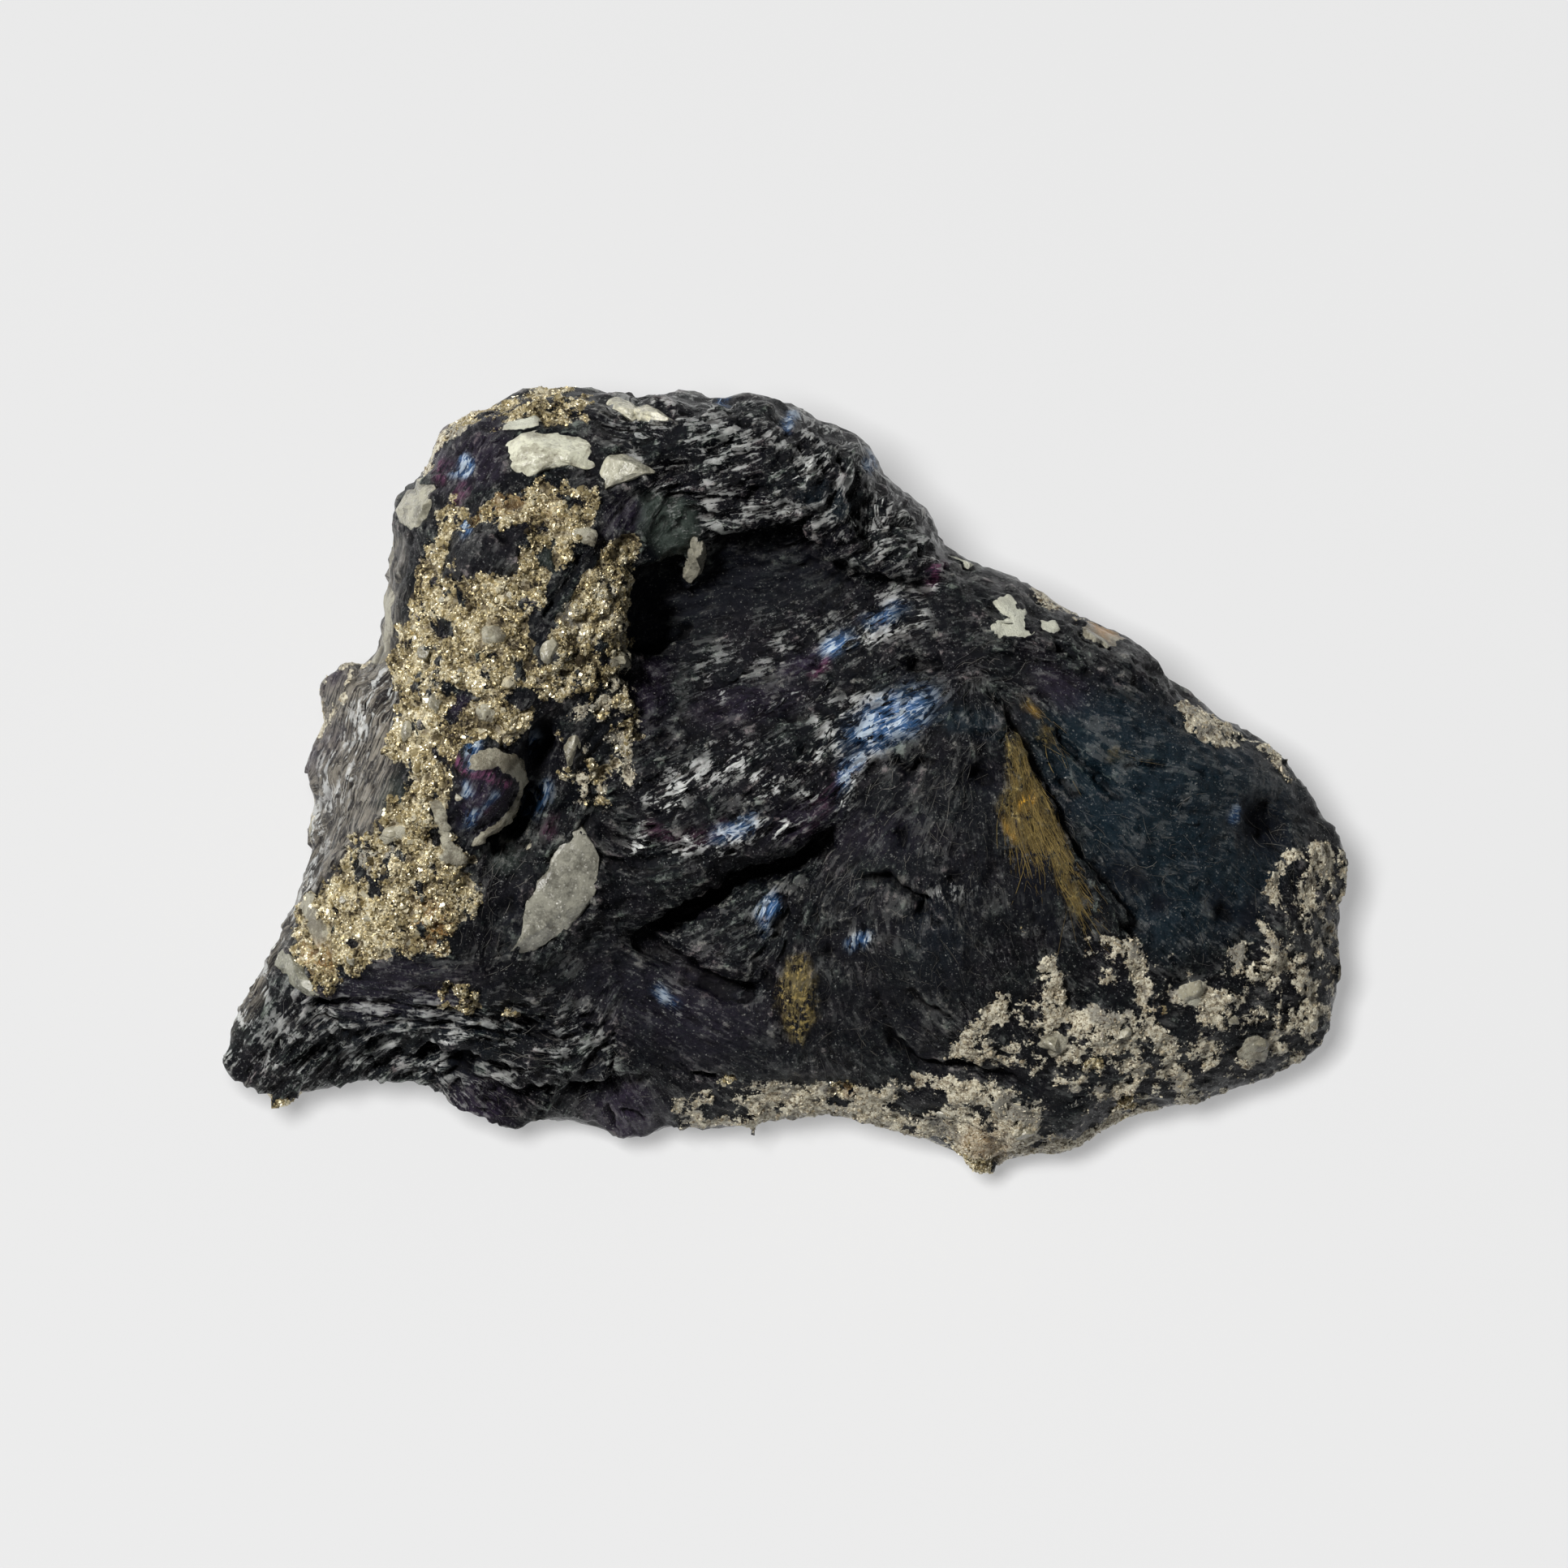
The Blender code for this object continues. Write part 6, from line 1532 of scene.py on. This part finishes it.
def make_grains(name, ground, shape, weight, count, size, seed, material):
    rng = np.random.default_rng(seed)
    places, normals, _ = ground.scatter(weight, count, rng)
    sizes = size * rng.lognormal(0.0, 0.45, size=(count, 1)) * rng.uniform(0.6, 1.25, size=(count, 3))
    places = places - MM * 0.15 * sizes[:, :1] * normals
    runs = rng.normal(size=(count, 3))
    normals = leaned(normals, 45.0, rng)
    grains = set_out(name, shape, places, normals, runs, sizes, 0.10, rng)
    write_own_shade(grains, count, rng)
    grains.data.materials.append(material)
    return grains


def make_plates(name, ground, foliation, weight, count, seed, material):
    """Thin plates of covellite that lie like shingles along the foliation, in the colours of the skin."""
    rng = np.random.default_rng(seed)
    places, normals, picked = ground.scatter(weight, count, rng)
    angle = foliation.angle(to_face(places)[:, :2]) + np.radians(16.0) * rng.normal(size=count)
    runs = np.stack([np.cos(angle), np.sin(angle), np.zeros(count)], axis=1) @ FACE_AXES
    normals = leaned(normals, 7.0, rng)
    length = rng.lognormal(math.log(0.95), 0.40, size=count)
    width = length * rng.uniform(0.16, 0.40, size=count)
    sizes = np.stack([length, width, rng.uniform(0.03, 0.07, size=count)], axis=1)
    shape = plate_shape()
    plates = set_out(name, shape, places, normals, runs, sizes, 0.18, rng)
    each = len(shape[0])
    numbers = triangle_array(plates.data).ravel()
    own = numbers // each
    shift = rng.uniform(-5.0, 5.0, size=(count, 2))
    corners = to_face(corner_array(plates.data))[numbers]
    write_streaks(plates.data, corners, 0.0, to_face(places)[own, :2], angle[own], shift[own])
    for cover, values in ground.skin.covers.items():
        if cover != "relief":
            write_measure(plates.data, cover, np.repeat(values[ground.triangles[picked]].mean(axis=1), each))
    write_measure(plates.data, "relief", np.repeat(rng.uniform(-0.8, 0.8, size=count), each))
    plates.data.materials.append(material)
    return plates


def make_strands(name, ground, foliation, weight, count, length, width, lean, seed, material):
    """Fine strands that lie on the skin and follow the foliation, each with its own lean and curl."""
    rng = np.random.default_rng(seed)
    places, _, _ = ground.scatter(weight, count, rng)
    uv = to_face(places)[:, :2]
    reach = length * rng.lognormal(0.0, 0.4, size=count)
    own = math.radians(lean) * rng.normal(size=count)
    curl = math.radians(0.5 * lean) * rng.normal(size=count)
    course = []
    for step in range(STRAND_RINGS + 1):
        course.append(uv)
        turned = foliation.angle(uv)
        angle = (turned + math.pi * np.round((angle - turned) / math.pi)) if step else turned
        course_angle = angle + own + curl * (step - 0.5 * STRAND_RINGS)
        uv = uv + (reach / STRAND_RINGS)[:, None] * np.stack([np.cos(course_angle), np.sin(course_angle)], axis=1)
    course = np.stack(course, axis=1)
    spine = ground.surface_at(course.reshape(-1, 2)).reshape(course.shape[:2] + (3,))
    whole = ~np.isnan(spine).any(axis=(1, 2))
    rise = np.abs(np.diff(spine @ FACE_AXES[2], axis=1)).max(axis=1) / MM
    whole &= np.nan_to_num(rise, nan=9.0) < 0.8
    spine = spine[whole]
    corners, triangles = strand_shape()
    step = (corners[:, 0] + 0.5) * STRAND_RINGS
    before = np.clip(np.floor(step).astype(int), 0, STRAND_RINGS - 1)
    share = (step - before)[None, :, None]
    middle = spine[:, before] * (1.0 - share) + spine[:, before + 1] * share
    runs = spine[:, -1] - spine[:, 0]
    runs /= np.linalg.norm(runs, axis=1, keepdims=True)
    sides = np.cross(FACE_AXES[2], runs)
    wide = MM * width * rng.lognormal(0.0, 0.3, size=(len(spine), 1, 1))
    out = corners[None, :, 2, None] + 0.35
    points = middle + wide * (corners[None, :, 1, None] * sides[:, None] + out * FACE_AXES[2])
    numbers = (triangles[None] + len(corners) * np.arange(len(spine))[:, None, None]).reshape(-1, 3)
    strands = mesh_from(name, inside_box(points.reshape(-1, 3)), numbers)
    write_own_shade(strands, len(spine), rng)
    strands.data.materials.append(material)
    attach(strands, "root")
    return strands


# Small bits of quartz in the pyrite: place, length, width and turn
QUARTZ_BITS = (
    (-17.4, 2.6, 3.0, 1.9, 80), (-18.9, 11.0, 2.6, 1.8, 60), (-29.3, 10.9, 1.7, 1.5, 0), (-28.5, 6.6, 2.6, 1.4, 70),
    (-30.8, 4.3, 2.4, 1.1, 80), (-23.9, 12.2, 1.6, 1.3, 20), (-13.6, 10.1, 1.5, 1.3, 0), (-16.2, 20.3, 1.7, 1.1, -30),
    (-24.2, 5.8, 1.8, 1.4, 40), (-32.0, -4.0, 2.6, 1.1, 15), (-33.9, -11.0, 1.2, 1.0, 0), (-29.0, -6.6, 1.0, 0.7, 30),
    (-20.9, 8.7, 1.1, 0.9, 50), (-26.3, 9.4, 1.3, 0.9, -40), (-30.3, 12.6, 1.2, 0.9, 70), (-27.8, 15.0, 1.0, 0.8, 20),
    (-22.2, 15.3, 1.2, 0.8, -50), (-15.0, 15.5, 1.1, 0.8, 30), (-26.5, -1.0, 1.0, 0.7, 70), (-36.0, -9.4, 1.1, 0.8, 10),
    (-31.0, -8.8, 1.0, 0.7, -30), (-35.4, -14.4, 1.2, 0.8, -50), (-30.5, -13.0, 1.1, 0.7, 60), (-14.8, -0.5, 1.2, 0.8, -30),
    (33.3, -17.0, 2.8, 1.7, 25), (21.9, -21.2, 2.0, 1.7, 10), (39.0, -21.3, 2.6, 1.6, 20), (46.0, -15.3, 2.2, 0.9, 85),
    (19.6, -28.6, 2.4, 1.8, 10), (39.4, -15.6, 2.0, 1.5, 40), (36.6, -19.4, 1.8, 1.2, -40), (27.5, -20.6, 2.2, 1.4, 30),
    (13.0, -27.0, 2.0, 1.3, -20), (-24.6, 21.9, 0.9, 0.7, 0), (-20.6, -5.2, 1.2, 0.8, 30),
)


def make_quartz_bits(ground, material):
    """Glassy bits of quartz half sunk in the granular parts."""
    rng = np.random.default_rng(231)
    corners, triangles = pebble_shape()
    points = []
    for u, v, length, width, turn in QUARTZ_BITS:
        centre = ground.surface_at(np.array([(u, v)]))[0]
        run = np.array((math.cos(math.radians(turn)), math.sin(math.radians(turn)), 0.0)) @ FACE_AXES
        side = np.cross(FACE_AXES[2], run)
        body = MM * (corners * (length, width, 0.75 * width)) @ np.stack([run, side, FACE_AXES[2]])
        body *= 1.0 + 0.16 * rough_noise(corners * 3.0 + rng.uniform(0.0, 50.0, size=3), 232, 2)[:, None]
        points.append(centre + chipped(body, rng, 16, (0.05 * length, 0.22 * width)))
    numbers = (triangles[None] + len(corners) * np.arange(len(points))[:, None, None]).reshape(-1, 3)
    bits = mesh_from("quartz_bits", inside_box(np.concatenate(points)), numbers)
    activate(bits)
    bpy.ops.object.shade_smooth_by_angle(angle=math.radians(24.0))
    bits.data.materials.append(material)
    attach(bits, "root")
    return bits


def grain_finish(name, dark, middle, light, metallic, rough):
    """Grains that each have their own shade, from dark through middle to light."""
    finish = Finish(name)
    shade = finish.cover("own_shade")
    blotch = finish.noise(2.4, 4.0, 0.6)
    fine = finish.noise(0.25, 3.0)
    tone = shade * 0.40 + blotch
    surface = finish.mix(tone.ramp(0.48, 0.62), dark, middle)
    surface = finish.mix(tone.ramp(0.68, 0.84), surface, light)
    surface = finish.mix(fine.ramp(0.45, 0.30), surface, dark)
    finish.set(base_color=surface, metallic=metallic, roughness=rough + 0.2 * fine, normal=finish.bump(fine, 0.06))
    return finish.material


def strand_finish(name, dark, light):
    finish = Finish(name)
    surface = finish.mix(finish.cover("own_shade"), dark, light)
    finish.set(base_color=surface, roughness=0.45)
    return finish.material


# Where pale hairs and yellow fibres lie
HAIRY = (
    Patch(((2.0, -22.0), (2.0, -10.0), (5.0, -5.0), (8.0, 2.0), (15.0, 4.0), (18.0, -4.0), (17.0, -14.0), (14.0, -20.0)),
          edge=2.0, weight=0.8),
    Spot(39.4, -3.5, 3.0, 1.4, -60.0, 1.2), Spot(16.5, 7.5, 3.0, 1.2, 0.0, 0.9), Spot(24.5, -5.5, 3.5, 1.6, -50.0, 0.8),
    Spot(30.0, -6.0, 5.0, 1.6, -30.0, 0.4), Spot(-24.0, -11.0, 2.2, 2.5, 70.0, 0.5), Spot(-12.0, 14.0, 1.5, 1.5, 90.0, 0.3),
    Spot(-27.0, -20.0, 6.0, 1.8, -5.0, 0.5), Spot(-22.0, -24.0, 5.0, 1.5, -20.0, 0.7),
)


# The stage
CAMERA_DISTANCE = 2400.0
FRAME_WIDTH = 128.8
SENSOR_WIDTH = 36.0
KEY_DIRECTION = (-0.45, 0.35, 0.82)
KEY_DISTANCE = 1600.0
KEY_SIZE = 240.0
KEY_POWER = 27.0
FLOOR_SIZE = 12.0
PAGE_GREY = 0.84


def square_to_face():
    """Turns a camera or light so that it looks straight at the show face."""
    return Matrix([list(row) for row in FACE_AXES.T]).to_4x4()


def make_camera():
    data = bpy.data.cameras.new("camera")
    data.sensor_width = SENSOR_WIDTH
    data.lens = SENSOR_WIDTH * CAMERA_DISTANCE / FRAME_WIDTH
    data.clip_start = 0.05
    camera = bpy.data.objects.new("camera", data)
    bpy.context.scene.collection.objects.link(camera)
    camera.matrix_world = Matrix.Translation(from_face((0.0, 0.0, CAMERA_DISTANCE))) @ square_to_face()
    bpy.context.scene.camera = camera


def area_light(name, direction, distance, size, power, tint=(1.0, 1.0, 1.0)):
    """A square soft light that shines at the middle of the face from a direction of the face."""
    data = bpy.data.lights.new(name, "AREA")
    data.shape = "SQUARE"
    data.size = size * MM
    data.energy = power
    data.color = tint
    light = bpy.data.objects.new(name, data)
    bpy.context.scene.collection.objects.link(light)
    aim = Vector(np.array(direction) @ FACE_AXES).normalized()
    light.matrix_world = Matrix.Translation(Vector(from_face((0, 0, 5.0))) + aim * distance * MM) @ aim.to_track_quat("Z", "Y").to_matrix().to_4x4()
    return light


def shine_only_on(light, name, lit):
    group = bpy.data.collections.new(name)
    for piece in lit:
        group.objects.link(piece)
    light.light_linking.receiver_collection = group


def make_floor():
    deselect()
    bpy.ops.mesh.primitive_plane_add(size=FLOOR_SIZE)
    floor = bpy.context.active_object
    floor.name = "floor"
    finish = Finish("pale floor")
    finish.set(
        base_color=colour(0.5, 0.5, 0.5), roughness=0.9, specular_ior_level=0.0,
        emission_color=colour(1.0, 1.0, 1.0), emission_strength=FLOOR_GLOW,
    )
    floor.data.materials.append(finish.material)
    return floor


FLOOR_GLOW = 0.365
FLOOR_LIGHT_POWER = 24.0
WORLD_STRENGTH = 0.03
WINDOW_DIRECTION = (-0.55, 0.62, 0.56)
WINDOW_SIZE = 900.0
WINDOW_POWER = 3.0
FILL_DIRECTION = (0.70, -0.55, 0.50)
FILL_POWER = 0.8


def make_stage(pieces):
    floor = make_floor()
    key = area_light("key light", KEY_DIRECTION, KEY_DISTANCE, KEY_SIZE, KEY_POWER, (1.0, 0.985, 0.96))
    shine_only_on(key, "lit by the key", pieces)
    soft = area_light("floor light", (-0.10, 0.07, 1.0), 1600.0, 260.0, FLOOR_LIGHT_POWER)
    shine_only_on(soft, "lit by the floor light", [floor])
    window = area_light("window", WINDOW_DIRECTION, KEY_DISTANCE, WINDOW_SIZE, WINDOW_POWER, (0.93, 0.97, 1.0))
    shine_only_on(window, "lit by the window", pieces)
    fill = area_light("fill", FILL_DIRECTION, KEY_DISTANCE, WINDOW_SIZE, FILL_POWER)
    shine_only_on(fill, "lit by the fill", pieces)
    world = bpy.data.worlds.new("studio")
    bpy.context.scene.world = world
    world.use_nodes = True
    sky = world.node_tree.nodes["Background"]
    sky.inputs["Color"].default_value = colour(1.0, 1.0, 1.0)
    sky.inputs["Strength"].default_value = WORLD_STRENGTH
    bpy.context.scene.view_settings.view_transform = "Standard"


def main():
    foliation = Foliation()
    lump, points, triangles, skin = make_lump(foliation)
    pieces = [lump]
    for seed, (node, looks) in enumerate(CRYSTALS.items()):
        pieces.append(make_crystal(node, *looks, seed))
    ground = Ground(points, triangles, skin)
    ore = grain_finish(
        "pyrite grains", colour(0.050, 0.037, 0.020), colour(0.44, 0.36, 0.19), colour(0.88, 0.81, 0.60), 0.50, 0.24
    )
    crust = grain_finish(
        "cream quartz grains", colour(0.12, 0.09, 0.055), colour(0.47, 0.405, 0.28), colour(0.80, 0.75, 0.59), 0.0, 0.32
    )
    granular = skin.pyrite * skin.show * ramp(skin.covers["relief"], -0.45, 0.25)
    pieces.append(make_grains("pyrite_cubes", ground, cube_shape(), granular, PYRITE_CUBES, 0.17, 201, ore))
    pieces.append(make_grains("pyrite_grains", ground, chip_shape(), granular, PYRITE_GRAINS, 0.24, 202, ore))
    pieces.append(make_grains(
        "cream_quartz_grains", ground, chip_shape(), skin.cream * skin.show, CREAM_GRAINS, 0.18, 203, crust
    ))
    pieces.append(make_grains("pyrite_crumbs", ground, crumb_shape(), granular, PYRITE_CRUMBS, 0.16, 207, ore))
    pieces.append(make_grains(
        "cream_quartz_crumbs", ground, crumb_shape(), skin.cream * skin.show, CREAM_CRUMBS, 0.16, 208, crust
    ))
    pieces.append(make_quartz_bits(ground, quartz_finish("quartz bits", 0.35, (0.48, 0.45, 0.34))))
    platy = skin.bare * ramp(skin.facing, 0.5, 0.8) * (0.10 + covered(skin.uv, CRUMPLED) + 0.8 * skin.covers["gleam"])
    platy *= (1.0 - skin.covers["dark_and_painted_shadow"]) * (1.0 - 0.8 * skin.covers["flank"])
    pieces.append(make_plates("covellite_plates", ground, foliation, platy, PLATES, 204, lump.data.materials[0]))
    hairy = skin.bare * skin.show * covered(skin.uv, HAIRY)
    pieces.append(make_strands(
        "pale_strands", ground, foliation, hairy, 900, 2.4, 0.034, 34.0, 205,
        strand_finish("pale strands", colour(0.02, 0.02, 0.02), colour(0.14, 0.135, 0.12)),
    ))
    pieces.append(make_strands(
        "yellow_strands", ground, foliation, skin.show * skin.covers["yellow"] ** 2 * ramp(skin.uv[:, 0], 8.0, 12.0), 700, 2.8, 0.040, 10.0, 206,
        strand_finish("yellow strands", colour(0.07, 0.05, 0.025), colour(0.36, 0.265, 0.09)),
    ))
    make_camera()
    make_stage(pieces)


main()
